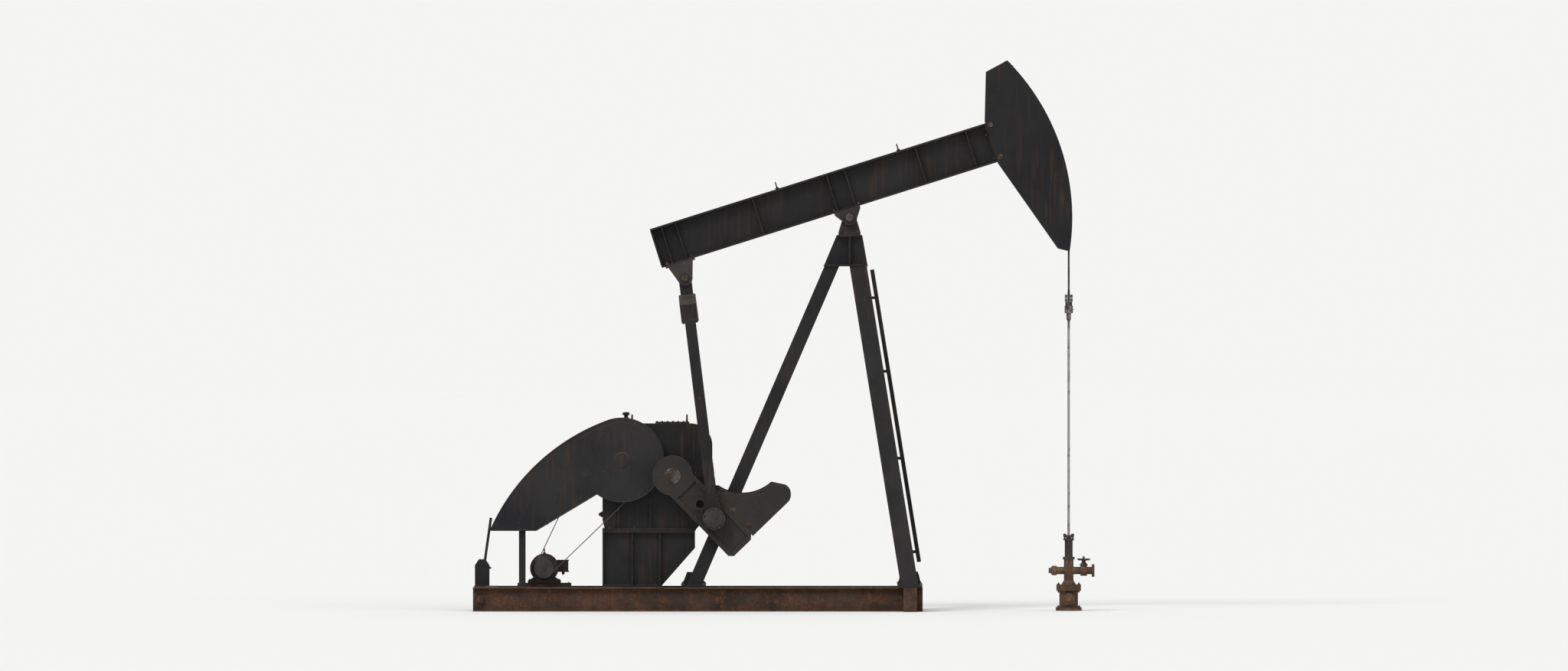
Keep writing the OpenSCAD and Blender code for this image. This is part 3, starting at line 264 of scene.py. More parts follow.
def wire_rope(path, radius, strands, lay, sides=18):
    """A wire rope in an upright plane: the radius R (0.9 + 0.1 cos n(t - 2 pi s / lay)) at the length s and
    the angle t, so that n strands wind along it and their crowns reach R."""
    ahead = unit_rows(np.gradient(path, axis=0))
    side = np.broadcast_to(np.array(LEFT, float), path.shape)
    turn = strands * (round_angles(sides)[None, :] - 2 * math.pi * lengths(path)[:, None] / lay)
    return swept(path, radius * (0.9 + 0.1 * np.cos(turn)), side, np.cross(side, ahead))


def joined(shapes):
    """Several shapes as one."""
    points, quads, caps, start = [], [], [], 0
    for v, q, c in shapes:
        points.append(v)
        quads.append(q + start)
        caps += [[i + start for i in cap] for cap in c]
        start += len(v)
    return np.concatenate(points), np.concatenate(quads), caps


def copies(shape, at, axis):
    """The shape at each of the points, its third axis along the direction: place + x side + y up + z axis."""
    v, q, c = shape
    at = np.atleast_2d(np.asarray(at, float))
    z = unit_rows(np.broadcast_to(np.asarray(axis, float), at.shape))
    x = unit_rows(np.cross(np.where(np.abs(z[:, 2:3]) > 0.9, np.array([AHEAD]), np.array([UP])), z))
    y = np.cross(z, x)
    points = at[:, None] + v[:, :1] * x[:, None] + v[:, 1:2] * y[:, None] + v[:, 2:] * z[:, None]
    starts = np.arange(len(at)) * len(v)
    caps = [[i + start for i in cap] for start in starts.tolist() for cap in c]
    return points.reshape(-1, 3), (q[None] + starts[:, None, None]).reshape(-1, 4), caps


def placed(shape, where):
    """The shape carried from a frame's own axes into the frame of the solids."""
    origin, axes = where
    return shape[0] @ axes + origin, shape[1], shape[2]


def mirrored(shape):
    """The shape and its copy on the other side of the middle plane."""
    return joined([shape, (shape[0] * np.array([1, -1, 1.0]), shape[1], shape[2])])


def pressed(shape, share, top):
    """The shape with its heights times the share, and cut off at the top."""
    v, q, c = shape
    return np.column_stack([v[:, :2], np.clip(v[:, 2] * share, 0, top)]), q, c


def hex_bolt(r, proud=1.5):
    """A hexagon nut on a washer with the stud's end: a turned shape of eight levels, two of them hexagons."""
    levels = [(1.30, 0), (1.30, 0.16), (1.0, 0.16), (1.0, 0.80), (0.86, 0.92), (0.46, 0.92),
              (0.46, proud - 0.1), (0.36, proud)]
    return lathe([(a * r, b * r) for a, b in levels], 12, [0, 0, 1, 1, 0, 0, 0, 0])


def eye(r):
    """A lifting eye: a collar with an upright ring."""
    collar = lathe([(1.2 * r, 0), (1.2 * r, 0.5 * r), (0.7 * r, 0.9 * r), (0.5 * r, 1.2 * r)], 20)
    v, q, c = torus(1.6 * r, 0.42 * r, 28, 8)
    return joined([collar, (np.column_stack([v[:, 0], v[:, 2], v[:, 1] + 2.5 * r]), q, c)])


def make_piece(name, shapes, where, body, material, smooth=False):
    """Puts shapes, given in a frame's axes, into one mesh object. It rides on the body, if there is one."""
    v, q, caps = placed(joined(shapes), where)
    mesh = bpy.data.meshes.new(name)
    mesh.from_pydata(v.tolist(), [], q.tolist() + caps)
    bm = bmesh.new()
    bm.from_mesh(mesh)
    bmesh.ops.remove_doubles(bm, verts=bm.verts, dist=1e-6)
    bmesh.ops.recalc_face_normals(bm, faces=bm.faces)
    bm.to_mesh(mesh)
    bm.free()
    mesh.polygons.foreach_set("use_smooth", np.full(len(mesh.polygons), smooth))
    piece = bpy.data.objects.new(name, mesh)
    bpy.context.scene.collection.objects.link(piece)
    mesh.materials.append(bpy.data.materials[material])
    if body:
        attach(piece, body)
    return piece


# Shader nodes


def feed(tree, value, socket):
    """Sets a socket to a number or a colour, or links it to another node's result."""
    if isinstance(value, (int, float, tuple)):
        socket.default_value = value
    else:
        tree.links.new(value, socket)


def maths(tree, operation, a, b=None, clamp=False):
    """A maths node; gives its result."""
    node = tree.nodes.new("ShaderNodeMath")
    node.operation, node.use_clamp = operation, clamp
    feed(tree, a, node.inputs[0])
    if b is not None:
        feed(tree, b, node.inputs[1])
    return node.outputs[0]


def times(tree, a, b, clamp=False):
    """The product of two values."""
    return maths(tree, "MULTIPLY", a, b, clamp)


def plus(tree, a, b, clamp=False):
    """The sum of two values."""
    return maths(tree, "ADD", a, b, clamp)


def ramp(tree, value, low, high, to_low=0.0, to_high=1.0):
    """A smooth step of the value between low and high."""
    node = tree.nodes.new("ShaderNodeMapRange")
    node.interpolation_type = "SMOOTHSTEP"
    limits = {"Value": value, "From Min": low, "From Max": high, "To Min": to_low, "To Max": to_high}
    for name, given in limits.items():
        feed(tree, given, node.inputs[name])
    return node.outputs["Result"]


def mixed(tree, share, a, b):
    """A blend of two colours by a share."""
    node = tree.nodes.new("ShaderNodeMix")
    node.data_type = "RGBA"
    for socket, value in ((node.inputs[0], share), (node.inputs[6], a), (node.inputs[7], b)):
        feed(tree, value, socket)
    return node.outputs[2]


def noise(tree, vector, scale, detail=4.0, rough=0.6):
    """Noise at a scale on the given coordinates."""
    node = tree.nodes.new("ShaderNodeTexNoise")
    for name, value in (("Vector", vector), ("Scale", scale), ("Detail", detail), ("Roughness", rough)):
        feed(tree, value, node.inputs[name])
    return node.outputs["Fac"]


def coordinates(tree, kind="Object"):
    """The surface's coordinates of a kind."""
    return tree.nodes.new("ShaderNodeTexCoord").outputs[kind]


def upward_part(tree, vector):
    """The Z of a vector."""
    parts = tree.nodes.new("ShaderNodeSeparateXYZ")
    tree.links.new(vector, parts.inputs[0])
    return parts.outputs["Z"]


def stretched(tree, vector, share):
    """Coordinates whose Z is shrunk to a share, so that a pattern on them is drawn out upright."""
    node = tree.nodes.new("ShaderNodeMapping")
    node.inputs["Scale"].default_value = (1, 1, share)
    tree.links.new(vector, node.inputs["Vector"])
    return node.outputs[0]


# Shared effects, as shader node groups


def new_group(name, inputs, outputs):
    """An empty node group with its sockets; gives its tree, its inputs and the sockets of its outputs."""
    group = bpy.data.node_groups.new(name, "ShaderNodeTree")
    for label, value in inputs.items():
        socket = group.interface.new_socket(name=label, in_out="INPUT", socket_type="NodeSocketFloat")
        socket.default_value = value
    for label in outputs:
        kind = "NodeSocketColor" if label == "Colour" else "NodeSocketFloat"
        group.interface.new_socket(name=label, in_out="OUTPUT", socket_type=kind)
    return group, group.nodes.new("NodeGroupInput").outputs, group.nodes.new("NodeGroupOutput").inputs


def rust_patches_group():
    """Patches of rust: noise at two scales, cut off at an edge that sinks as the amount grows."""
    g, given, result = new_group("Rust Patches", {"Amount": 0.3, "Scale": 3.0}, ["Mask", "Colour", "Height"])
    at = coordinates(g)
    large = noise(g, at, given["Scale"], 6.0, 0.65)
    small = noise(g, at, times(g, given["Scale"], 9.0), 5.0, 0.7)
    edge = maths(g, "SUBTRACT", 0.74, times(g, given["Amount"], 0.42))
    mask = ramp(g, plus(g, times(g, large, 0.68), times(g, small, 0.32)), edge, plus(g, edge, 0.07))
    tone = noise(g, at, 26.0, 6.0, 0.75)
    g.links.new(mask, result["Mask"])
    rust = mixed(g, ramp(g, tone, 0.32, 0.68), (0.030, 0.012, 0.006, 1), (0.150, 0.056, 0.022, 1))
    g.links.new(rust, result["Colour"])
    g.links.new(times(g, mask, tone), result["Height"])


def settled_dust_group():
    """Dust on what faces up, thinner in patches."""
    g, given, result = new_group("Settled Dust", {"Amount": 0.4, "Scale": 5.0}, ["Mask"])
    facing = ramp(g, upward_part(g, coordinates(g, "Normal")), -0.12, 1.0)
    patch = ramp(g, noise(g, coordinates(g), given["Scale"], 5.0, 0.65), 0.30, 0.72, 0.35, 1.0)
    g.links.new(times(g, times(g, facing, patch), given["Amount"], True), result["Mask"])


def run_streaks_group():
    """Rust that rain has drawn down upright faces, in streaks that break off."""
    g, given, result = new_group("Run Streaks", {"Amount": 0.4, "Width": 0.05}, ["Mask"])
    at = coordinates(g)
    fine = noise(g, stretched(g, at, 0.06), maths(g, "DIVIDE", 1.0, given["Width"]), 4.0, 0.6)
    breaks = ramp(g, noise(g, at, 1.3, 3.0, 0.5), 0.40, 0.62)
    wall = ramp(g, maths(g, "ABSOLUTE", upward_part(g, coordinates(g, "Normal"))), 0.9, 0.4)
    mask = times(g, times(g, ramp(g, fine, 0.50, 0.72), breaks), wall)
    g.links.new(times(g, mask, given["Amount"], True), result["Mask"])


def oil_runs_group():
    """Oil that runs down from the height High and thins out towards Low."""
    g, given, result = new_group("Oil Runs", {"Low": 1.2, "High": 2.0, "Amount": 0.8}, ["Mask"])
    at = coordinates(g)
    height = upward_part(g, at)
    fade = ramp(g, height, given["Low"], given["High"])
    below = ramp(g, height, plus(g, given["High"], 0.05), given["High"])
    edge = maths(g, "SUBTRACT", 0.72, times(g, fade, 0.34))
    run = ramp(g, noise(g, stretched(g, at, 0.10), 22.0, 4.0, 0.6), edge, plus(g, edge, 0.06))
    g.links.new(times(g, times(g, times(g, run, below), fade), given["Amount"], True), result["Mask"])


def worn_edges_group():
    """Edges worn ragged: where the softened normal leaves the face's own, broken up by noise."""
    g, given, result = new_group("Worn Edges", {"Amount": 0.6, "Radius": 0.012, "Scale": 14.0}, ["Mask"])
    soft = g.nodes.new("ShaderNodeBevel")
    soft.samples = 3
    g.links.new(given["Radius"], soft.inputs["Radius"])
    dot = g.nodes.new("ShaderNodeVectorMath")
    dot.operation = "DOT_PRODUCT"
    g.links.new(soft.outputs[0], dot.inputs[0])
    g.links.new(g.nodes.new("ShaderNodeNewGeometry").outputs["Normal"], dot.inputs[1])
    turned = ramp(g, maths(g, "SUBTRACT", 1.0, dot.outputs["Value"]), 0.01, 0.16)
    broken = ramp(g, noise(g, coordinates(g), given["Scale"], 5.0, 0.7), 0.38, 0.62)
    g.links.new(times(g, times(g, turned, broken), given["Amount"], True), result["Mask"])


def fine_grain_group():
    """A fine grain, as a value and as a height."""
    g, given, result = new_group("Fine Grain", {"Scale": 90.0, "Depth": 0.5}, ["Value", "Height"])
    value = noise(g, coordinates(g), given["Scale"], 3.0, 0.6)
    g.links.new(value, result["Value"])
    g.links.new(times(g, value, given["Depth"]), result["Height"])


def effect(tree, name, **values):
    """A shader node group placed with its own values; gives its outputs."""
    node = tree.nodes.new("ShaderNodeGroup")
    node.node_tree = bpy.data.node_groups[name]
    for label, value in values.items():
        node.inputs[label].default_value = value
    return node.outputs


# Materials


def new_material(name, **values):
    """A material whose shader has the given constant values; gives its tree, its shader and coordinates."""
    material = bpy.data.materials.new(name)
    material.use_nodes = True
    tree = material.node_tree
    shader = tree.nodes["Principled BSDF"]
    for label, value in values.items():
        shader.inputs[label.replace("_", " ")].default_value = value
    return tree, shader, coordinates(tree)


def finished(tree, shader, colour, rough, height=None, depth=0.0):
    """Feeds the shader its colour and roughness, and a bump whose depth is in metres."""
    tree.links.new(colour, shader.inputs["Base Color"])
    tree.links.new(rough, shader.inputs["Roughness"])
    if height is not None:
        bump = tree.nodes.new("ShaderNodeBump")
        bump.inputs["Strength"].default_value = 0.6
        bump.inputs["Distance"].default_value = depth
        tree.links.new(height, bump.inputs["Height"])
        tree.links.new(bump.outputs[0], shader.inputs["Normal"])


def oiled(tree, colour, rough, span):
    """Lays dark wet oil over a colour and its roughness, between two heights; gives both back."""
    if span is None:
        return colour, rough
    film = effect(tree, "Oil Runs", Low=span[0], High=span[1])["Mask"]
    return (mixed(tree, film, colour, (0.0060, 0.0042, 0.0030, 1)),
            maths(tree, "SUBTRACT", rough, times(tree, film, 0.34)))


def weathered(s, name, paint, faded, rust=1.0, dust=1.0, edges=1.0, rust_scale=2.4, streaks=0.5,
              roughness=(0.42, 0.75), oil=None):
    """Old paint on steel: a tone that varies, chipped edges, rust patches with streaks, and dust on top.
    Rust, dust and edges are shares of what the settings say."""
    tree, shader, at = new_material(name, Specular_IOR_Level=0.14)
    broad = ramp(tree, noise(tree, at, 0.9, 5.0, 0.6), 0.35, 0.68)
    base = mixed(tree, broad, (*paint, 1), (*faded, 1))
    patches = effect(tree, "Rust Patches", Amount=s.rust_share * rust, Scale=rust_scale)
    settled = effect(tree, "Settled Dust", Amount=s.dust_share * dust)["Mask"]
    worn = effect(tree, "Worn Edges", Amount=s.edge_wear * edges)["Mask"]
    grain = effect(tree, "Fine Grain", Scale=110.0, Depth=0.35)
    tone = mixed(tree, effect(tree, "Run Streaks", Amount=streaks)["Mask"], base, (0.055, 0.026, 0.014, 1))
    tone = mixed(tree, patches["Mask"], tone, patches["Colour"])
    tone = mixed(tree, worn, tone, (0.105, 0.062, 0.042, 1))
    tone = mixed(tree, settled, tone, (*s.dust, 1))
    matt = times(tree, maths(tree, "MAXIMUM", patches["Mask"], settled), 0.8)
    matt = plus(tree, matt, times(tree, grain["Value"], 0.25), True)
    rough = ramp(tree, matt, 0.0, 1.0, roughness[0], roughness[1] + 0.15)
    height = plus(tree, patches["Height"], grain["Height"])
    finished(tree, shader, *oiled(tree, tone, rough, oil), height, 0.0015)


def rusted_steel(s, name, dark, light, flake, dust=1.0, oil=None):
    """Bare steel gone to rust: two browns at two scales, darker flakes, streaks, worn edges and dust."""
    tree, shader, at = new_material(name, Specular_IOR_Level=0.3)
    broad = ramp(tree, noise(tree, at, 1.6, 6.0, 0.7), 0.34, 0.66)
    flakes = ramp(tree, noise(tree, at, 38.0, 4.0, 0.7), 0.52, 0.66)
    patches = effect(tree, "Rust Patches", Amount=0.62, Scale=4.5)
    grain = effect(tree, "Fine Grain", Scale=70.0, Depth=0.8)
    tone = mixed(tree, broad, (*dark, 1), (*light, 1))
    tone = mixed(tree, times(tree, flakes, 0.7), tone, (*flake, 1))
    tone = mixed(tree, times(tree, patches["Mask"], 0.55), tone, patches["Colour"])
    tone = mixed(tree, effect(tree, "Run Streaks", Amount=0.5)["Mask"], tone, (*dark, 1))
    tone = mixed(tree, effect(tree, "Worn Edges", Amount=0.45)["Mask"], tone, (0.125, 0.078, 0.052, 1))
    tone = mixed(tree, effect(tree, "Settled Dust", Amount=s.dust_share * dust)["Mask"], tone, (*s.dust, 1))
    rough = ramp(tree, grain["Value"], 0.2, 0.8, 0.68, 0.95)
    height = plus(tree, grain["Height"], patches["Height"])
    finished(tree, shader, *oiled(tree, tone, rough, oil), height, 0.002)


def cast_iron(s, name, main, second, dust):
    """Rough cast iron: a pitted skin, a slow change of tone, rust in spots, and dust that lies on it."""
    tree, shader, at = new_material(name, Specular_IOR_Level=0.3)
    broad = ramp(tree, noise(tree, at, 2.1, 5.0, 0.65), 0.36, 0.66)
    pits = tree.nodes.new("ShaderNodeTexVoronoi")
    pits.inputs["Scale"].default_value = 85.0
    tree.links.new(at, pits.inputs["Vector"])
    patches = effect(tree, "Rust Patches", Amount=0.34, Scale=3.2)
    grain = effect(tree, "Fine Grain", Scale=60.0, Depth=0.7)
    tone = mixed(tree, broad, (*main, 1), (*second, 1))
    tone = mixed(tree, patches["Mask"], tone, patches["Colour"])
    tone = mixed(tree, effect(tree, "Worn Edges", Amount=0.5)["Mask"], tone, (0.13, 0.105, 0.09, 1))
    tone = mixed(tree, effect(tree, "Settled Dust", Amount=dust)["Mask"], tone, (*s.dust, 1))
    rough = ramp(tree, grain["Value"], 0.2, 0.8, 0.55, 0.88)
    finished(tree, shader, tone, rough, plus(tree, grain["Height"], pits.outputs["Distance"]), 0.002)


def bright_steel(name, tone, grime, roughness, share, metallic=0.9):
    """Worn steel: fine marks along it, grime on a share of it, a little rust."""
    tree, shader, at = new_material(name, Metallic=metallic)
    dirty = ramp(tree, noise(tree, at, 6.0, 6.0, 0.7), 0.66 - share * 0.4, 0.78 - share * 0.3)
    patches = effect(tree, "Rust Patches", Amount=0.22, Scale=7.0)
    base = mixed(tree, dirty, (*tone, 1), (*grime, 1))
    scratch = noise(tree, stretched(tree, at, 0.05), 240.0, 3.0, 0.6)
    rough = ramp(tree, plus(tree, scratch, dirty), 0.3, 1.4, roughness, roughness + 0.4)
    finished(tree, shader, mixed(tree, patches["Mask"], base, patches["Colour"]), rough, scratch, 0.0004)


def belt_rubber(name):
    """Black rubber with a worn grey bloom and dust."""
    tree, shader, at = new_material(name)
    bloom = ramp(tree, noise(tree, at, 18.0, 5.0, 0.7), 0.35, 0.75)
    tone = mixed(tree, bloom, (0.012, 0.012, 0.012, 1), (0.040, 0.038, 0.036, 1))
    tone = mixed(tree, effect(tree, "Settled Dust", Amount=0.35)["Mask"], tone, (0.16, 0.13, 0.10, 1))
    grain = effect(tree, "Fine Grain", Scale=160.0, Depth=0.6)
    finished(tree, shader, tone, ramp(tree, bloom, 0.0, 1.0, 0.62, 0.85), grain["Height"], 0.0008)


def gauge_glass(name):
    """The dark oil behind a level gauge's window, under a clear coat."""
    tree, shader, at = new_material(name, Coat_Weight=1.0, Coat_Roughness=0.05)
    tone = ramp(tree, noise(tree, at, 40.0, 3.0, 0.5), 0.3, 0.7)
    oil = mixed(tree, tone, (0.045, 0.022, 0.006, 1), (0.09, 0.045, 0.012, 1))
    finished(tree, shader, oil, ramp(tree, tone, 0.0, 1.0, 0.12, 0.25))


def scaled(colour, share):
    """A colour made darker or lighter."""
    return tuple(v * share for v in colour)


FINISH_OF = {
    "old paint": ["front_leg_left", "front_leg_right", "rear_leg_left", "rear_leg_right", "front_braces",
                  "rear_braces", "post_cap", "ladder", "pedestal", "walking_beam", "equalizer",
                  "pitman_left", "pitman_right"],
    "head paint": ["horsehead_cheeks", "horsehead_frame"],
    "guard paint": ["belt_guard", "brake_lever"],
    "gearbox paint": ["gearbox_case", "gearbox_cover"],
    "motor paint": ["motor"],
    "skid rust": ["skid_beam_left", "skid_beam_right", "skid_crossmembers", "front_outriggers",
                  "motor_rails"],
    "well rust": ["casing_head", "flow_tee"],
    "cast iron": ["centre_bearing", "saddle", "tail_bearing", "wrist_bearings", "brake_drum", "large_sheave",
                  "motor_sheave", "stuffing_box"],
    "crank iron": ["crank_left", "crank_right", "weight_left", "weight_right"],
    "worn steel": ["crankshaft", "carrier_bar"],
    "rod steel": ["polished_rod"],
    "rope steel": ["head_ropes", "hanging_ropes"],
    "belt rubber": ["belts"],
}


# Settings


def number(name, description, default, low=0.0, high=1.0, unit="NONE"):
    """A number property."""
    return bpy.props.FloatProperty(
        name=name, description=description, default=default, min=low, max=high, unit=unit)


def colour(name, description, default):
    """A colour property."""
    return bpy.props.FloatVectorProperty(
        name=name, description=description, default=default, size=3, subtype="COLOR", min=0, max=1)


class PumpFinishSettings(bpy.types.PropertyGroup):
    """Tones of the finishes, and how far the weather has gone"""
    paint: colour("Paint", "The old paint's main tone", (0.0080, 0.0083, 0.0100))
    paint_second: colour("Faded paint", "The paint's tone where it has faded", (0.0165, 0.0160, 0.0168))
    dust: colour("Dust", "Colour of the dust that lies on the unit", (0.130, 0.098, 0.072))
    skid_dark: colour("Skid, dark rust", "The skid's darker rust", (0.019, 0.0095, 0.0062))
    skid_light: colour("Skid, light rust", "The skid's lighter rust", (0.052, 0.028, 0.018))
    well_light: colour("Wellhead, light rust", "The wellhead's lighter rust", (0.130, 0.080, 0.048))
    iron: colour("Cast iron", "Tone of the cranks and counterweights", (0.0115, 0.0102, 0.0095))
    rust_share: number("Rust", "Share of the paint that rust has taken", 0.26)
    dust_share: number("Dust share", "How much dust lies on upward faces", 0.42)
    edge_wear: number("Edge wear", "How far the paint is off the edges", 0.55)


class PumpFastenerSettings(bpy.types.PropertyGroup):
    """Sizes of the fasteners and weld beads"""
    large_bolt: number("Large bolt", "Corner radius of the largest nuts", 0.027, 0.01, 0.05, "LENGTH")
    middle_bolt: number("Middle bolt", "Corner radius of the flange nuts", 0.018, 0.008, 0.03, "LENGTH")
    small_bolt: number("Small bolt", "Corner radius of the cover screws", 0.011, 0.004, 0.02, "LENGTH")
    weld_radius: number("Weld", "Radius of the weld beads", 0.0065, 0.003, 0.012, "LENGTH")
    weld_pitch: number("Weld pitch", "Distance between two ripples of a weld bead", 0.024, 0.01, 0.05,
                       "LENGTH")


class PumpRopeSettings(bpy.types.PropertyGroup):
    """Sizes of the bridle's wire ropes"""
    rope_radius: number("Rope radius", "Radius of a bridle rope over its strands", 0.0135, 0.008, 0.014,
                        "LENGTH")
    strands: bpy.props.IntProperty(name="Strands", description="Strands in a rope", default=6, min=3, max=8)
    lay: number("Lay", "Length in which a strand goes once round", 0.20, 0.08, 0.5, "LENGTH")
    gauge: number("Rope gauge", "Distance between the two ropes", 0.210, 0.15, 0.25, "LENGTH")


class PumpStageSettings(bpy.types.PropertyGroup):
    """The floor, the camera and the light"""
    floor: colour("Floor", "Colour of the floor and backdrop", (0.84, 0.84, 0.83))
    distance: number("Camera distance", "Distance of the camera from the unit", 280.0, 50, 600, "LENGTH")
    elevation: number("Camera elevation", "Angle of the camera above the horizon, in degrees", 0.3, 0, 30)
    fill: number("Fill", "Share of the picture's height that the unit takes", 0.82, 0.2, 0.95)
    sky: number("Sky light", "Strength of the light from all round", 0.62, 0, 3)
    key: number("Key light", "Strength of the main lamp", 1.7, 0, 10)


# Operators


class PUMP_OT_finishes(bpy.types.Operator):
    """Makes the materials and gives each solid its own"""
    bl_idname = "pump.finishes"
    bl_label = "Finishes"

    def execute(self, context):
        s = context.scene.pump_finish
        for make_group in (rust_patches_group, settled_dust_group, run_streaks_group, oil_runs_group,
                           worn_edges_group, fine_grain_group):
            make_group()
        paint, faded = s.paint, s.paint_second
        weathered(s, "old paint", paint, faded)
        weathered(s, "head paint", paint, scaled(faded, 0.9), rust=0.7, rust_scale=1.7, streaks=0.65)
        weathered(s, "guard paint", scaled(paint, 1.2), scaled(faded, 1.3), rust=1.15, rust_scale=3.1)
        weathered(s, "gearbox paint", scaled(paint, 0.9), faded, rust=0.75, dust=1.2, rust_scale=3.6,
                  streaks=0.7, roughness=(0.36, 0.7), oil=(1.30, 2.06))
        weathered(s, "motor paint", (0.014, 0.011, 0.009), (0.030, 0.024, 0.019), dust=1.3, rust_scale=7.0)
        weathered(s, "weld bead", scaled(paint, 0.95), faded, rust=1.4, edges=0.0, rust_scale=6.0)
        rusted_steel(s, "skid rust", s.skid_dark, s.skid_light, (0.018, 0.010, 0.008), dust=1.25)
        rusted_steel(s, "well rust", (0.045, 0.024, 0.013), s.well_light, (0.022, 0.013, 0.009),
                     oil=(0.36, 0.84))
        cast_iron(s, "cast iron", scaled(s.iron, 1.15), (0.034, 0.030, 0.027), 0.45)
        cast_iron(s, "crank iron", s.iron, (0.0185, 0.0140, 0.0112), 0.30)
        bright_steel("worn steel", (0.20, 0.185, 0.17), (0.045, 0.034, 0.026), 0.35, 0.8)
        bright_steel("rod steel", (0.30, 0.30, 0.30), (0.060, 0.048, 0.036), 0.18, 0.45)
        bright_steel("rope steel", (0.050, 0.045, 0.040), (0.018, 0.014, 0.010), 0.5, 0.7, 0.3)
        bright_steel("bolt steel", (0.075, 0.066, 0.058), (0.050, 0.026, 0.014), 0.45, 0.75, 0.55)
        belt_rubber("belt rubber")
        gauge_glass("gauge glass")
        for material, nodes in FINISH_OF.items():
            for node in nodes:
                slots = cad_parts[node].data.materials
                slots.clear()
                slots.append(bpy.data.materials[material])
        return {"FINISHED"}


class PUMP_OT_stage(bpy.types.Operator):
    """Makes the floor, the light and the camera"""
    bl_idname = "pump.stage"
    bl_label = "Stage"

    def floor(self, scene, tone):
        """A pale plane just under the unit."""
        material = bpy.data.materials.new("pale floor")
        material.use_nodes = True
        shader = material.node_tree.nodes["Principled BSDF"]
        shader.inputs["Base Color"].default_value = (*tone, 1)
        shader.inputs["Roughness"].default_value = 0.9
        shader.inputs["Specular IOR Level"].default_value = 0.1
        mesh = bpy.data.meshes.new("floor")
        mesh.from_pydata(level(rectangle(800.0, 800.0), -0.001).tolist(), [], [(0, 1, 2, 3)])
        mesh.materials.append(material)
        floor = bpy.data.objects.new("floor", mesh)
        scene.collection.objects.link(floor)
        floor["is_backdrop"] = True

    def sky(self, scene, strength):
        """White light from all round, and an even backdrop for the rays that see it."""
        world = bpy.data.worlds.new("studio")
        scene.world = world
        world.use_nodes = True
        tree = world.node_tree
        nodes, links = tree.nodes, tree.links
        nodes.clear()
        choose = nodes.new("ShaderNodeMixShader")
        ray = nodes.new("ShaderNodeLightPath").outputs
        seen = maths(tree, "MAXIMUM", ray["Is Camera Ray"], ray["Is Transmission Ray"])
        links.new(maths(tree, "MAXIMUM", seen, ray["Is Glossy Ray"]), choose.inputs[0])
        backgrounds = (((1.0, 1.0, 1.0, 1), strength), ((0.909, 0.909, 0.902, 1), 1.0))
        for socket, (tone, power) in zip(choose.inputs[1:], backgrounds):
            background = nodes.new("ShaderNodeBackground")
            background.inputs["Color"].default_value = tone
            background.inputs["Strength"].default_value = power
            links.new(background.outputs[0], socket)
        links.new(choose.outputs[0], nodes.new("ShaderNodeOutputWorld").inputs[0])

    def lamp(self, scene, name, strength, angle, turn):
        """A lamp as far off as the sun, as wide as the angle, turned as given, in degrees."""
        light = bpy.data.lights.new(name, "SUN")
        light.energy, light.angle = strength, math.radians(angle)
        holder = bpy.data.objects.new(name, light)
        holder.rotation_euler = [math.radians(v) for v in turn]
        scene.collection.objects.link(holder)

    def camera(self, scene, s):
        """A camera far off at the unit's side, which looks at its middle."""
        low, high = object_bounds()
        width, height = 2048, 877
        lens = bpy.data.cameras.new("camera")
        camera = bpy.data.objects.new("camera", lens)
        scene.collection.objects.link(camera)
        up = math.radians(s.elevation)
        camera.location = (low + high) / 2 + Vector((0, -math.cos(up), math.sin(up))) * s.distance
        camera.rotation_euler = (math.pi / 2 - up, 0, 0)
        lens.sensor_width = 36.0
        lens.lens = lens.sensor_width * s.distance / ((high.z - low.z) / s.fill * width / height)
        lens.clip_start, lens.clip_end = 1.0, 2000.0
        scene.camera = camera

    def execute(self, context):
        s = context.scene.pump_stage
        scene = context.scene
        self.floor(scene, s.floor)
        self.sky(scene, s.sky)
        self.lamp(scene, "key lamp", s.key, 22, (48, 0, -32))
        self.lamp(scene, "fill lamp", s.key * 0.35, 40, (58, 0, 48))
        self.camera(scene, s)
        scene.view_settings.view_transform = "Standard"
        return {"FINISHED"}


class PUMP_OT_post_fasteners(bpy.types.Operator):
    """Bolts of the post's feet, its head and the centre bearing, the pedestal and the skid"""
    bl_idname = "pump.post_fasteners"
    bl_label = "Post and skid fasteners"

    def execute(self, context):
        s = context.scene.pump_fastener
        feet = [spots(pair(0.155, x), pair(0.152, -y) + pair(0.152, y), FOOT_TOP)
                for x, y in (FRONT_FOOT, REAR_FOOT)]
        bearing = spots(pair(0.125), pair(0.148), 5.660)
        cap = spots((0.060, 0.205, -0.335, -0.205), pair(0.215) + pair(0.125), 5.174)
        pedestal = spots((-3.630, -3.300, -2.890), pair(0.365) + pair(0.245), PEDESTAL_FOOT)
        gear_feet = spots((-3.580, -3.210, -2.730, -2.440), pair(0.380), GEAR_FOOT)
        splice = spots(pair(0.070, FRONT_FOOT[0]), pair(0.690), SKID_TOP)
        shapes = [copies(hex_bolt(s.large_bolt), np.vstack([*feet, bearing]), UP),
                  copies(hex_bolt(s.middle_bolt), np.vstack([cap, pedestal, gear_feet, splice]), UP)]
        make_piece("post_bolts", shapes, BASE_FRAME, "base", "bolt steel")
        return {"FINISHED"}


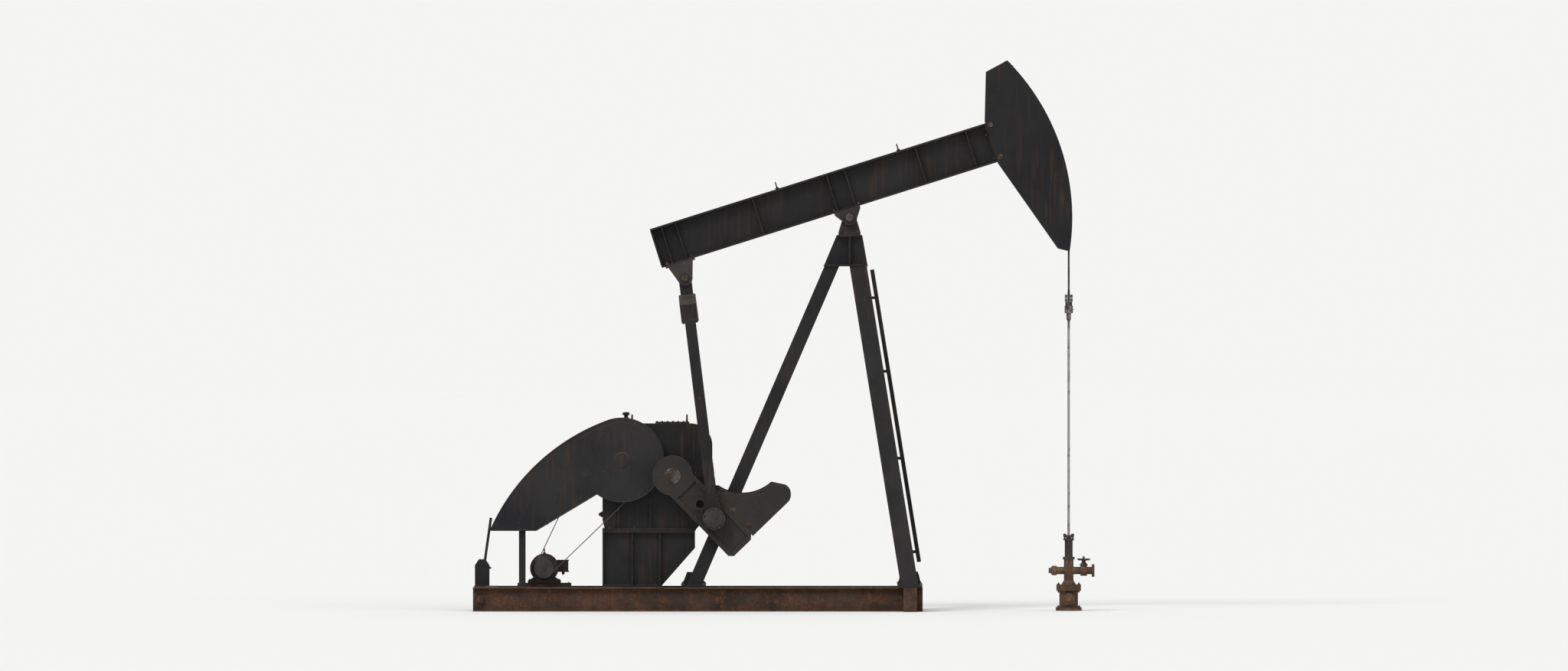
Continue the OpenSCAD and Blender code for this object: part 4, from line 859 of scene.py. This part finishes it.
class PUMP_OT_gearbox_fittings(bpy.types.Operator):
    """Flange bolts, bearing covers, lifting eyes, oil gauges and plugs of the gearbox"""
    bl_idname = "pump.gearbox_fittings"
    bl_label = "Gearbox fittings"

    def bolts(self, s):
        """Bolts of the split flange, which leave room for shafts and ribs, of the covers and the hatch."""
        bolt, small = hex_bolt(s.middle_bolt), hex_bolt(s.small_bolt, 1.2)
        flange_top, flange_under, ribs = 2.060, 2.000, (-3.450, -2.970, -2.310)
        xs = np.arange(-3.680, -2.050, 0.115)
        xs = xs[(np.abs(xs - SHAFT_AT[0]) > 0.30) & (np.abs(xs - MIDDLE_AT[0]) > 0.19)]
        clear = xs[np.abs(xs[:, None] - ribs).min(1) > 0.035]
        shapes = [copies(bolt, spots(xs, pair(0.374), flange_top), UP),
                  copies(bolt, spots(clear, pair(0.376), flange_under), DOWN),
                  copies(small, spots((-3.705, -2.035), (-0.24, 0.0, 0.24), flange_top), UP)]
        covers = ((SHAFT_AT, GEAR_FACE, 0.215, 12, bolt), (INPUT_AT, GEAR_FACE, 0.112, 6, small),
                  (MIDDLE_AT, MIDDLE_FACE, 0.125, 8, small))
        for centre, face, radius, count, size in covers:
            circle = upright(round_points(centre, radius, round_angles(count, 0.5)), face)
            shapes.append(mirrored(copies(size, circle, LEFT)))
        hatch_sides = spots((-2.880, -2.800, -2.720, -2.640, -2.560, -2.480, -2.440), pair(0.180), 2.826)
        hatch_ends = spots((-2.880, -2.440), (-0.09, 0.0, 0.09), 2.826)
        return shapes + [copies(small, np.vstack([hatch_sides, hatch_ends]), UP)]

    def covers(self, gauges):
        """The shafts' covers, the lifting eyes, the vent and the gauges' bezels."""
        cover = ring([(0.122, 0), (0.182, 0), (0.182, 0.014), (0.170, 0.022), (0.130, 0.022), (0.122, 0.016)],
                     56)
        plug = lathe([(0.098, 0), (0.098, 0.010), (0.088, 0.016), (0.030, 0.018)], 32)
        vent = lathe([(0.040, 0), (0.040, 0.020), (0.030, 0.024), (0.030, 0.050), (0.052, 0.056),
                      (0.056, 0.085), (0.040, 0.098), (0.010, 0.102)], 28)
        bezel = ring([(0.034, 0), (0.058, 0), (0.058, 0.012), (0.050, 0.018), (0.034, 0.018)], 32)
        return [mirrored(copies(cover, [(SHAFT_AT[0], GEAR_FACE, SHAFT_AT[1])], LEFT)),
                mirrored(copies(plug, [(MIDDLE_AT[0], MIDDLE_FACE, MIDDLE_AT[1])], LEFT)),
                copies(eye(0.030), spots((-3.250, -2.430), pair(0.270), 2.800), UP),
                copies(vent, [(-3.340, 0.0, 2.870)], UP), copies(bezel, gauges, BACK)]

    def execute(self, context):
        gauges = spots(GEAR_REAR, pair(0.140), 1.820)
        make_piece("gearbox_bolts", self.bolts(context.scene.pump_fastener), BASE_FRAME, "base", "bolt steel")
        make_piece("gearbox_covers", self.covers(gauges), BASE_FRAME, "base", "gearbox paint")
        glass = lathe([(0.034, 0.002), (0.034, 0.010), (0.026, 0.0125), (0.010, 0.0135)], 28)
        make_piece("oil_gauges", [copies(glass, gauges, BACK)], BASE_FRAME, "base", "gauge glass",
                   smooth=True)
        drain = joined([lathe([(0.040, 0), (0.040, 0.022), (0.034, 0.028), (0.020, 0.030)], 24),
                        copies(hex_bolt(0.026, 1.2), [(0, 0, 0.028)], UP)])
        make_piece("drain_plugs", [copies(drain, spots(GEAR_REAR, pair(0.150), 1.440), BACK)], BASE_FRAME,
                   "base", "bolt steel")
        return {"FINISHED"}


class PUMP_OT_guard_trim(bpy.types.Operator):
    """The belt guard's rolled rim, its stiffening bars and rivets"""
    bl_idname = "pump.guard_trim"
    bl_label = "Belt guard trim"

    def bar(self, a, b):
        """A flat bar on the guard's outer face from a to b."""
        long = float(np.linalg.norm(b - a))
        v, q, c = slab(rectangle(long, 0.046), 0.005, 0.0012)
        along = (b - a) / long
        across = np.array([-along[1], along[0]])
        points = upright((a + b) / 2 + v[:, :1] * along + v[:, 1:2] * across, GUARD_FACE)
        return points - np.outer(v[:, 2], LEFT), q, c

    def execute(self, context):
        s = context.scene.pump_fastener
        r_round, r_sweep, end_h = 0.630, 3.070, 1.210
        lean = np.array([0.369, -1.0])
        centre = INPUT_AT + (r_sweep - r_round) * lean / math.hypot(*lean)
        tail_x = centre[0] - math.sqrt(r_sweep**2 - (end_h - centre[1])**2)
        tail_dir = math.degrees(math.atan2(end_h - centre[1], tail_x - centre[0]))
        join_dir = math.degrees(math.atan2(INPUT_AT[1] - centre[1], INPUT_AT[0] - centre[0]))

        def rim(inset, last, n):
            """The guard's upper outline, drawn in: the long sweep, then the round end as far as last."""
            sweep = arc_points(centre, r_sweep - inset, tail_dir, join_dir, 60)
            return np.vstack([sweep, arc_points(INPUT_AT, r_round - inset, join_dir, last, n)[1:]])

        tail, foot = np.array([tail_x, end_h]), np.array([tail_x + 0.690, end_h])
        edge = rim(0.004, -126, 110)
        lower = edge[-1] + (foot - edge[-1]) * np.linspace(0, 1, 60)[1:, None]
        under = foot + (tail - foot) * np.linspace(0, 1, 30)[1:-1, None]
        shapes = [tube(upright(np.vstack([edge, lower, under]), GUARD_FACE), 0.0085, 8, closed=True),
                  tube(upright(rim(0.075, -60, 90)[4:], GUARD_FACE), 0.005, 6)]
        make_piece("guard_rim", shapes, BASE_FRAME, "base", "guard paint", smooth=True)

        bars = [self.bar(a, b) for a, b in GUARD_BARS]
        make_piece("guard_bars", bars, BASE_FRAME, "base", "guard paint")

        rivet = lathe([(0.0085, 0), (0.0082, 0.003), (0.0055, 0.0058), (0.0015, 0.0068)], 10)
        on_bars = np.array([a + (b - a) * k for a, b in GUARD_BARS for k in (0.05, 0.35, 0.65, 0.95)])
        foot_bolts = spots(pair(0.035, tail_x + 0.480), pair(0.045, -0.560), 0.372)
        shapes = [copies(rivet, upright(rim(0.040, -120, 70)[3::4], GUARD_FACE), RIGHT),
                  copies(rivet, upright(on_bars, GUARD_FACE - 0.005), RIGHT),
                  copies(hex_bolt(s.small_bolt, 1.2), foot_bolts, UP)]
        make_piece("guard_rivets", shapes, BASE_FRAME, "base", "bolt steel")
        hub = lathe([(0.120, 0), (0.120, 0.006), (0.105, 0.012), (0.030, 0.013)], 40)
        make_piece("guard_hub_cover", [copies(hub, [(INPUT_AT[0], GUARD_FACE, INPUT_AT[1])], RIGHT)],
                   BASE_FRAME, "base", "guard paint")
        return {"FINISHED"}


class PUMP_OT_motor_fittings(bpy.types.Operator):
    """The motor's fan grille, terminal box lid and bolts"""
    bl_idname = "pump.motor_fittings"
    bl_label = "Motor fittings"

    def execute(self, context):
        s = context.scene.pump_fastener
        x, z = MOTOR_AT
        centre = np.array([x, 0.300, z])
        rings = (0.045, 0.070, 0.095, 0.120, 0.145)
        shapes = [copies(torus(radius, 0.0035, 40, 6), [centre], LEFT) for radius in rings]
        for d in upright(round_points((0, 0), 1.0, round_angles(8)), 0.0):
            shapes.append(tube(line(centre + d * 0.02, centre + d * 0.160, 0.03), 0.004, 6))
        hub = lathe([(0.030, 0), (0.030, 0.006), (0.020, 0.010), (0.004, 0.011)], 20)
        shapes.append(copies(hub, [centre], LEFT))
        make_piece("motor_grille", shapes, BASE_FRAME, "base", "motor paint", smooth=True)

        lid_at = np.array([-4.215, -0.010, 0.670])
        lid = slab(rectangle(0.212, 0.192), 0.012, 0.003)
        gland = lathe([(0.024, 0), (0.024, 0.014), (0.019, 0.018), (0.019, 0.036), (0.013, 0.042)], 16,
                      [1, 1, 0, 0, 0])
        glands = spots(-4.280, pair(0.035, -0.005), 0.580)
        shapes = [copies(lid, [lid_at], AHEAD), copies(gland, glands, DOWN)]
        make_piece("terminal_lid", shapes, BASE_FRAME, "base", "motor paint")

        screws = lid_at + spots(0.012, pair(0.092), pair(0.080))
        feet = spots(pair(0.222, x), (-0.285, -0.205, 0.065, 0.145), 0.445)
        bell = upright(round_points(MOTOR_AT, 0.185, round_angles(4, 0.5)), -0.350)
        rail_ends = spots(pair(0.360, x), (-0.245, 0.105), 0.415)
        shapes = [copies(hex_bolt(0.008, 1.0), screws, AHEAD), copies(hex_bolt(s.middle_bolt), feet, UP),
                  copies(hex_bolt(0.012, 1.0), bell, RIGHT),
                  copies(hex_bolt(s.small_bolt, 1.3), rail_ends, UP)]
        make_piece("motor_bolts", shapes, BASE_FRAME, "base", "bolt steel")
        return {"FINISHED"}


class PUMP_OT_brake_band(bpy.types.Operator):
    """The band round the brake drum, its lugs and its clamp bolt, and the lever's quadrant"""
    bl_idname = "pump.brake_band"
    bl_label = "Brake band"

    def execute(self, context):
        start, end, n = -80, 255, 90
        section = [(0.191, 0.468), (0.197, 0.468), (0.197, 0.542), (0.191, 0.542)]
        rows = [upright(arc_points(INPUT_AT, r, start, end, n), y) for r, y in section]
        shapes = [(np.stack(rows, 1).reshape(-1, 3), grid_quads(n, len(section)), ends(n, len(section)))]
        lug = slab(rectangle(0.050, 0.070), 0.010, 0.002)
        for a in np.radians([start, end]):
            at = upright(round_points(INPUT_AT, 0.222, np.array([a])), BRAKE_Y)
            shapes.append(copies(lug, at, (-math.sin(a), 0, math.cos(a))))
        make_piece("brake_band", shapes, BASE_FRAME, "base", "old paint")

        low = 2.038
        shapes = [tube(line((-3.46, BRAKE_Y, low), (-3.31, BRAKE_Y, low), 0.03), 0.007, 10),
                  copies(hex_bolt(0.014), [(-3.448, BRAKE_Y, low), (-3.322, BRAKE_Y, low)], [BACK, AHEAD])]
        make_piece("brake_clamp", shapes, BASE_FRAME, "base", "bolt steel")

        x, z = BRAKE_PIVOT
        t = np.radians(np.linspace(52, 116, 26))
        teeth = np.where(np.arange(len(t)) % 2 == 0, 0.236, 0.226)[:, None]
        outline = np.vstack([round_points((0, 0), teeth, t), round_points((0, 0), 0.200, t[::-1])])
        v, q, c = slab(outline, 0.0035, 0.0003)
        quadrant = (np.column_stack([x + v[:, 0], 0.568 + v[:, 2], z + v[:, 1]]), q, c)
        shapes = [copies(hex_bolt(0.022, 1.0), [(x, 0.600, z)], LEFT), quadrant]
        make_piece("brake_quadrant", shapes, BASE_FRAME, "base", "bolt steel")
        return {"FINISHED"}


class PUMP_OT_well_fittings(bpy.types.Operator):
    """Studs and nuts of the wellhead's flanges, its plugs, handwheel and gland nuts"""
    bl_idname = "pump.well_fittings"
    bl_label = "Wellhead fittings"

    def execute(self, context):
        nut, gland, screw = hex_bolt(0.017, 1.9), hex_bolt(0.022, 1.0), hex_bolt(0.012, 1.0)
        shapes = [copies(nut, level(round_points((0, 0), radius, round_angles(8, 0.5)), z), way)
                  for radius, z, way in ((0.169, 0.050, UP), (0.164, 0.390, UP), (0.164, 0.300, DOWN))]
        shapes.append(copies(gland, spots(pair(0.060), 0, 1.130), UP))
        shapes.append(copies(screw, [(0, 0.060, 0.900), (0, -0.060, 0.960)], [LEFT, RIGHT]))
        make_piece("well_nuts", shapes, WELL_FRAME, "base", "bolt steel")

        valve_x, wheel_h = 0.225, 0.770
        plug = lathe([(0.060, 0), (0.060, 0.012), (0.046, 0.016), (0.046, 0.044), (0.038, 0.050)], 18,
                     [0, 0, 1, 1, 0])
        bonnet = lathe([(0.062, 0), (0.062, 0.016), (0.048, 0.020), (0.048, 0.034), (0.034, 0.040)], 24,
                       [0, 0, 1, 1, 0])
        plugs_at = [(0, 0.252, 0.180), (0, -0.252, 0.180), (-0.250, 0, 0.600)]
        shapes = [copies(plug, plugs_at, [LEFT, RIGHT, BACK]), copies(bonnet, [(valve_x, 0, 0.676)], UP)]
        make_piece("well_plugs", shapes, WELL_FRAME, "base", "well rust")

        centre = np.array([valve_x, 0, wheel_h])
        hub = lathe([(0.026, 0), (0.026, 0.020), (0.016, 0.026), (0.016, 0.048), (0.004, 0.052)], 20)
        shapes = [copies(torus(0.092, 0.009, 44, 8), [centre], UP), copies(hub, [(valve_x, 0, 0.762)], UP)]
        for d in level(round_points((0, 0), 1.0, round_angles(4) + 0.4), 0.0):
            shapes.append(tube(line(centre + d * 0.015, centre + d * 0.088, 0.02), 0.006, 8, guide=UP))
        make_piece("valve_wheel", shapes, WELL_FRAME, "base", "well rust", smooth=True)
        return {"FINISHED"}


class PUMP_OT_beam_fittings(bpy.types.Operator):
    """Bolts of the saddle, the tail bearing and the head's hinge, the bearing's caps and the lifting eyes"""
    bl_idname = "pump.beam_fittings"
    bl_label = "Beam fittings"

    def execute(self, context):
        s = context.scene.pump_fastener
        on_flange = spots(pair(0.190) + pair(0.190, TAIL_U), pair(0.100), BEAM_FLANGE)
        hinge = spots(2.330, pair(0.085), (0.190, 0.330, 0.560, 0.670))
        cap = lathe([(0.055, 0), (0.055, 0.006), (0.046, 0.012), (0.012, 0.013)], 28)
        shapes = [copies(hex_bolt(s.large_bolt), on_flange, UP), copies(hex_bolt(s.middle_bolt), hinge, BACK),
                  mirrored(copies(hex_bolt(0.014, 1.1), spots(pair(0.085), 0.170, 0.052), LEFT)),
                  mirrored(copies(cap, [(0, 0.190, 0)], LEFT))]
        make_piece("beam_bolts", shapes, BEAM_FRAME, "beam", "bolt steel")
        eyes = [copies(eye(0.024), spots((1.000, -0.900), 0, 0.734), UP)]
        make_piece("beam_eyes", eyes, BEAM_FRAME, "beam", "old paint")
        return {"FINISHED"}


class PUMP_OT_head_fittings(bpy.types.Operator):
    """The bridle's anchor at the head's top with its bolts, the cheeks' edge beads and the hinge's pins"""
    bl_idname = "pump.head_fittings"
    bl_label = "Horsehead fittings"

    def execute(self, context):
        gauge = context.scene.pump_rope.gauge / 2
        long, thick = 0.110, 0.0558
        out = np.array([math.cos(ANCHOR_ANGLE), 0, math.sin(ANCHOR_ANGLE)])
        along = np.array([-math.sin(ANCHOR_ANGLE), 0, math.cos(ANCHOR_ANGLE)])
        origin = out * (TRACK + SEAT_GAP)

        def on_block(a, y, outward):
            """A point of the block, from its lower edge, its middle and its seat."""
            return origin + along * a + np.array([0, y, 0]) + out * outward

        v, q, c = slab(rectangle(long, 2 * (gauge + 0.034)), thick, 0.006)
        block = (origin + (v[:, :1] + long / 2) * along + v[:, 1:2] * LEFT + v[:, 2:] * out, q, c)
        socket = lathe([(0.023, 0), (0.023, 0.030), (0.019, 0.040), (0.012, 0.044)], 20)
        ropes = [on_block(long, y, 0.0145) for y in pair(gauge)]
        make_piece("bridle_anchor", [block, copies(socket, ropes, along)], BEAM_FRAME, "beam", "head paint")
        bolts = [on_block(a, y, thick) for a in (0.026, 0.084) for y in pair(0.050) + pair(gauge + 0.018)]
        make_piece("bridle_anchor_bolts", [copies(hex_bolt(0.013, 1.2), bolts, out)], BEAM_FRAME, "beam",
                   "bolt steel")

        edge = arc_points((0, 0), TRACK + 0.066 - 0.007, -25.9, 27.1, 150)
        beads = [tube(upright(edge, y), 0.0065, 6) for y in pair(0.157)]
        make_piece("cheek_edges", beads, BEAM_FRAME, "beam", "head paint", smooth=True)
        keeper = lathe([(0.042, 0), (0.042, 0.008), (0.034, 0.014), (0.010, 0.015)], 24)
        pins = [mirrored(copies(keeper, spots(2.420, 0.170, (0.190, 0.690)), LEFT))]
        make_piece("head_pins", pins, BEAM_FRAME, "beam", "bolt steel")
        return {"FINISHED"}


class PUMP_OT_bridle_ropes(bpy.types.Operator):
    """The bridle's two wire ropes, on the head's track and hanging from it to the carrier bar"""
    bl_idname = "pump.bridle_ropes"
    bl_label = "Bridle ropes"

    def execute(self, context):
        s = context.scene.pump_rope
        step = s.lay / s.strands / 4
        top = TILT + ANCHOR_ANGLE
        angles = np.linspace(0, top, int(FRONT_ARM * top / step))
        heights = np.linspace(CARRIER_H, BEARING[1], int((BEARING[1] - CARRIER_H) / step))
        arc = round_points(BEARING, FRONT_ARM, angles)
        drop = np.column_stack([np.full(len(heights), WELL_X), heights])

        def ropes(path):
            """The two ropes along a path, half the gauge to each side of it."""
            return [wire_rope(upright(path, y), s.rope_radius, s.strands, s.lay) for y in pair(s.gauge / 2)]

        on_head = make_piece("bridle_on_head", ropes(arc), SOLIDS_FRAME, None, "rope steel",
                             smooth=True)
        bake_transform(on_head)
        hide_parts("head_ropes")
        hanging = make_piece("bridle_hanging", ropes(drop), SOLIDS_FRAME, None, "rope steel",
                             smooth=True)
        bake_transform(hanging)
        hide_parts("hanging_ropes")
        return {"FINISHED"}


class PUMP_OT_pitman_fittings(bpy.types.Operator):
    """Bolts of the equalizer, and bolts and collars of the wrist bearings"""
    bl_idname = "pump.pitman_fittings"
    bl_label = "Pitman fittings"

    def execute(self, context):
        s = context.scene.pump_fastener
        under = spots(pair(0.100), (0.966, 1.022), -0.658)
        caps = upright(round_points((0, -PITMAN), 0.148, round_angles(8, 0.5)), 1.084)
        pin = lathe([(0.050, 0), (0.050, 0.005), (0.042, 0.010), (0.008, 0.011)], 28)
        shapes = [mirrored(copies(hex_bolt(s.middle_bolt), under, DOWN)),
                  mirrored(copies(hex_bolt(0.0125, 1.3), caps, LEFT)),
                  mirrored(copies(pin, [(0, 0.186, 0)], LEFT))]
        make_piece("pitman_bolts", shapes, PITMAN_FRAME, "pitmans", "bolt steel")
        collar = ring([(0.150, 0), (0.1662, 0), (0.1662, 0.016), (0.150, 0.016)], 48)
        collars = [mirrored(copies(collar, spots(0, (0.908, 1.062), -PITMAN), LEFT))]
        make_piece("wrist_collars", collars, PITMAN_FRAME, "pitmans", "cast iron")
        return {"FINISHED"}


class PUMP_OT_crank_fittings(bpy.types.Operator):
    """The counterweights' bolts and cast rims, and the cranks' end plates"""
    bl_idname = "pump.crank_fittings"
    bl_label = "Crank and counterweight fittings"

    def execute(self, context):
        flat = pressed(hex_bolt(0.034, 0.52), 0.55, 0.0175)
        small = pressed(hex_bolt(0.014, 0.9), 1.0, 0.009)
        plate = lathe([(0.104, 0), (0.104, 0.005), (0.098, 0.008), (0.020, 0.0085)], 40)
        screws = upright(round_points((0, 0), 0.068, round_angles(4) + 0.4), CRANK_FACE + 0.008)
        shapes = [mirrored(copies(flat, spots((0.640, 0.980, 1.320), CRANK_FACE, 0.300), LEFT)),
                  mirrored(copies(plate, [(0, CRANK_FACE, 0)], LEFT)), mirrored(copies(small, screws, LEFT))]
        make_piece("crank_bolts", shapes, CRANK_FRAME, "crank", "bolt steel")

        inset, low = 0.012, 0.2352
        outline = np.vstack([
            line((0.470, low + inset), (1.480 - inset, low + inset), 0.05),
            arc_points((1.330, 0.960), 0.150 - inset, 0, 110, 14), [[1.104, 0.980 - inset]],
            arc_points((0.460, 1.000), 0.640 + inset, -8, -78, 20)])
        apart = np.linalg.norm(np.diff(outline, axis=0), axis=1) > 0.004
        path = upright(outline[np.concatenate([[True], apart])], CRANK_FACE)
        rims = [mirrored(tube(path, 0.0075, 8, closed=True))]
        make_piece("weight_rims", rims, CRANK_FRAME, "crank", "crank iron", smooth=True)
        return {"FINISHED"}


class PUMP_OT_rod_fittings(bpy.types.Operator):
    """The rod clamp's bolts and the carrier bar's rope sockets and pins"""
    bl_idname = "pump.rod_fittings"
    bl_label = "Rod fittings"

    def execute(self, context):
        ropes = pair(context.scene.pump_rope.gauge / 2)
        socket = lathe([(0.038, 0), (0.038, 0.010), (0.028, 0.014), (0.0145, 0.030)], 24)
        pin = lathe([(0.012, 0), (0.012, 0.006), (0.007, 0.009), (0.002, 0.0095)], 14)
        shapes = [mirrored(copies(hex_bolt(0.013), spots(pair(0.040), 0.048, (4.645, 4.705)), LEFT)),
                  copies(socket, spots(0, ropes, CARRIER_H), UP),
                  copies(hex_bolt(0.026, 1.0), spots(0, ropes, 4.360), DOWN),
                  copies(pin, spots(0.060, pair(0.150), 4.505), AHEAD)]
        make_piece("rod_clamp_bolts", shapes, WELL_FRAME, "rod", "bolt steel")
        return {"FINISHED"}


class PUMP_OT_weld_beads(bpy.types.Operator):
    """Weld beads along the joints of the post, pedestal, gearbox, skid and beam"""
    bl_idname = "pump.weld_beads"
    bl_label = "Weld beads"

    def execute(self, context):
        s = context.scene.pump_fastener

        def bead(a, b, guide=LEFT):
            """A rippled bead from a to b."""
            return tube(line(a, b, s.weld_pitch / 4), s.weld_radius, 6, 0.22, s.weld_pitch, guide=guide)

        def along(start, end, ys, z):
            """Level beads from start to end at each y."""
            return [bead((start, y, z), (end, y, z)) for y in ys]

        def upward(xs, ys, low, high):
            """Upright beads at each x and y."""
            return [bead((x, y, low), (x, y, high), AHEAD) for x in xs for y in ys]

        def beside(middles, half):
            """The places half to each side of every middle."""
            return [edge for middle in middles for edge in pair(half, middle)]

        shapes = []
        for (x, y), half in ((FRONT_FOOT, 0.127), (REAR_FOOT, 0.1015)):
            shapes += along(x - half, x + half, beside(pair(y), half), FOOT_TOP + 0.001)
        shapes += along(-0.375, 0.260, beside((-0.170, 0.0, 0.170), 0.013), 5.175)
        shapes += along(-3.680, -2.825, beside(pair(0.300), 0.011), PEDESTAL_FOOT + 0.001)
        shapes += upward((-3.670, -3.255, -3.235, -2.840), pair(0.310), 0.394, 1.168)
        shapes += along(-3.640, -2.320, pair(0.350), GEAR_FOOT)
        shapes += upward((-3.462, -3.438, -2.322, -2.298), pair(0.350), 1.242, 1.996)
        for x in (0.900, -2.330, -3.010, -3.590, -4.300, -4.850, -5.360):
            shapes += along(x - 0.088, x + 0.088, pair(0.460), SKID_TOP - 0.001)
        shapes += along(0.802, 0.998, pair(0.661), SKID_TOP - 0.001)
        make_piece("base_welds", shapes, BASE_FRAME, "base", "weld bead", smooth=True)

        stiffeners = (-2.888, *pair(0.110, TAIL_U), -1.300, *pair(0.140), 1.250, 2.040, 2.348)
        shapes = [bead((u, y, 0.155), (u, y, 0.703)) for u in beside(stiffeners, 0.009) for y in pair(0.0105)]
        make_piece("beam_welds", shapes, BEAM_FRAME, "beam", "weld bead", smooth=True)
        return {"FINISHED"}


class PUMP_PT_panel(bpy.types.Panel):
    """Lists what makes the unit's looks"""
    bl_idname = "PUMP_PT_panel"
    bl_label = "Pumping Unit"
    bl_space_type = "VIEW_3D"
    bl_region_type = "UI"
    bl_category = "Pumping Unit"

    def draw(self, context):
        for group in SETTINGS:
            settings = getattr(context.scene, group)
            for name in settings.__annotations__:
                self.layout.prop(settings, name)
        for operator in OPERATORS:
            self.layout.operator(operator.bl_idname)


SETTINGS = {
    "pump_finish": PumpFinishSettings,
    "pump_fastener": PumpFastenerSettings,
    "pump_rope": PumpRopeSettings,
    "pump_stage": PumpStageSettings,
}
OPERATORS = [
    PUMP_OT_finishes, PUMP_OT_post_fasteners, PUMP_OT_gearbox_fittings, PUMP_OT_guard_trim,
    PUMP_OT_motor_fittings, PUMP_OT_brake_band, PUMP_OT_well_fittings, PUMP_OT_beam_fittings,
    PUMP_OT_head_fittings, PUMP_OT_bridle_ropes, PUMP_OT_pitman_fittings, PUMP_OT_crank_fittings,
    PUMP_OT_rod_fittings, PUMP_OT_weld_beads, PUMP_OT_stage,
]


def register():
    """Registers the settings, the operators and the panel."""
    for item in list(SETTINGS.values()) + OPERATORS + [PUMP_PT_panel]:
        bpy.utils.register_class(item)
    for name, group in SETTINGS.items():
        setattr(bpy.types.Scene, name, bpy.props.PointerProperty(type=group))


def unregister():
    """Takes out what register put in."""
    for name in SETTINGS:
        delattr(bpy.types.Scene, name)
    for item in [PUMP_PT_panel] + OPERATORS[::-1] + list(SETTINGS.values())[::-1]:
        bpy.utils.unregister_class(item)


def main():
    """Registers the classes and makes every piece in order."""
    register()
    for operator in OPERATORS:
        group, name = operator.bl_idname.split(".")
        getattr(getattr(bpy.ops, group), name)()
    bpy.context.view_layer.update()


if __name__ == "__main__":
    main()
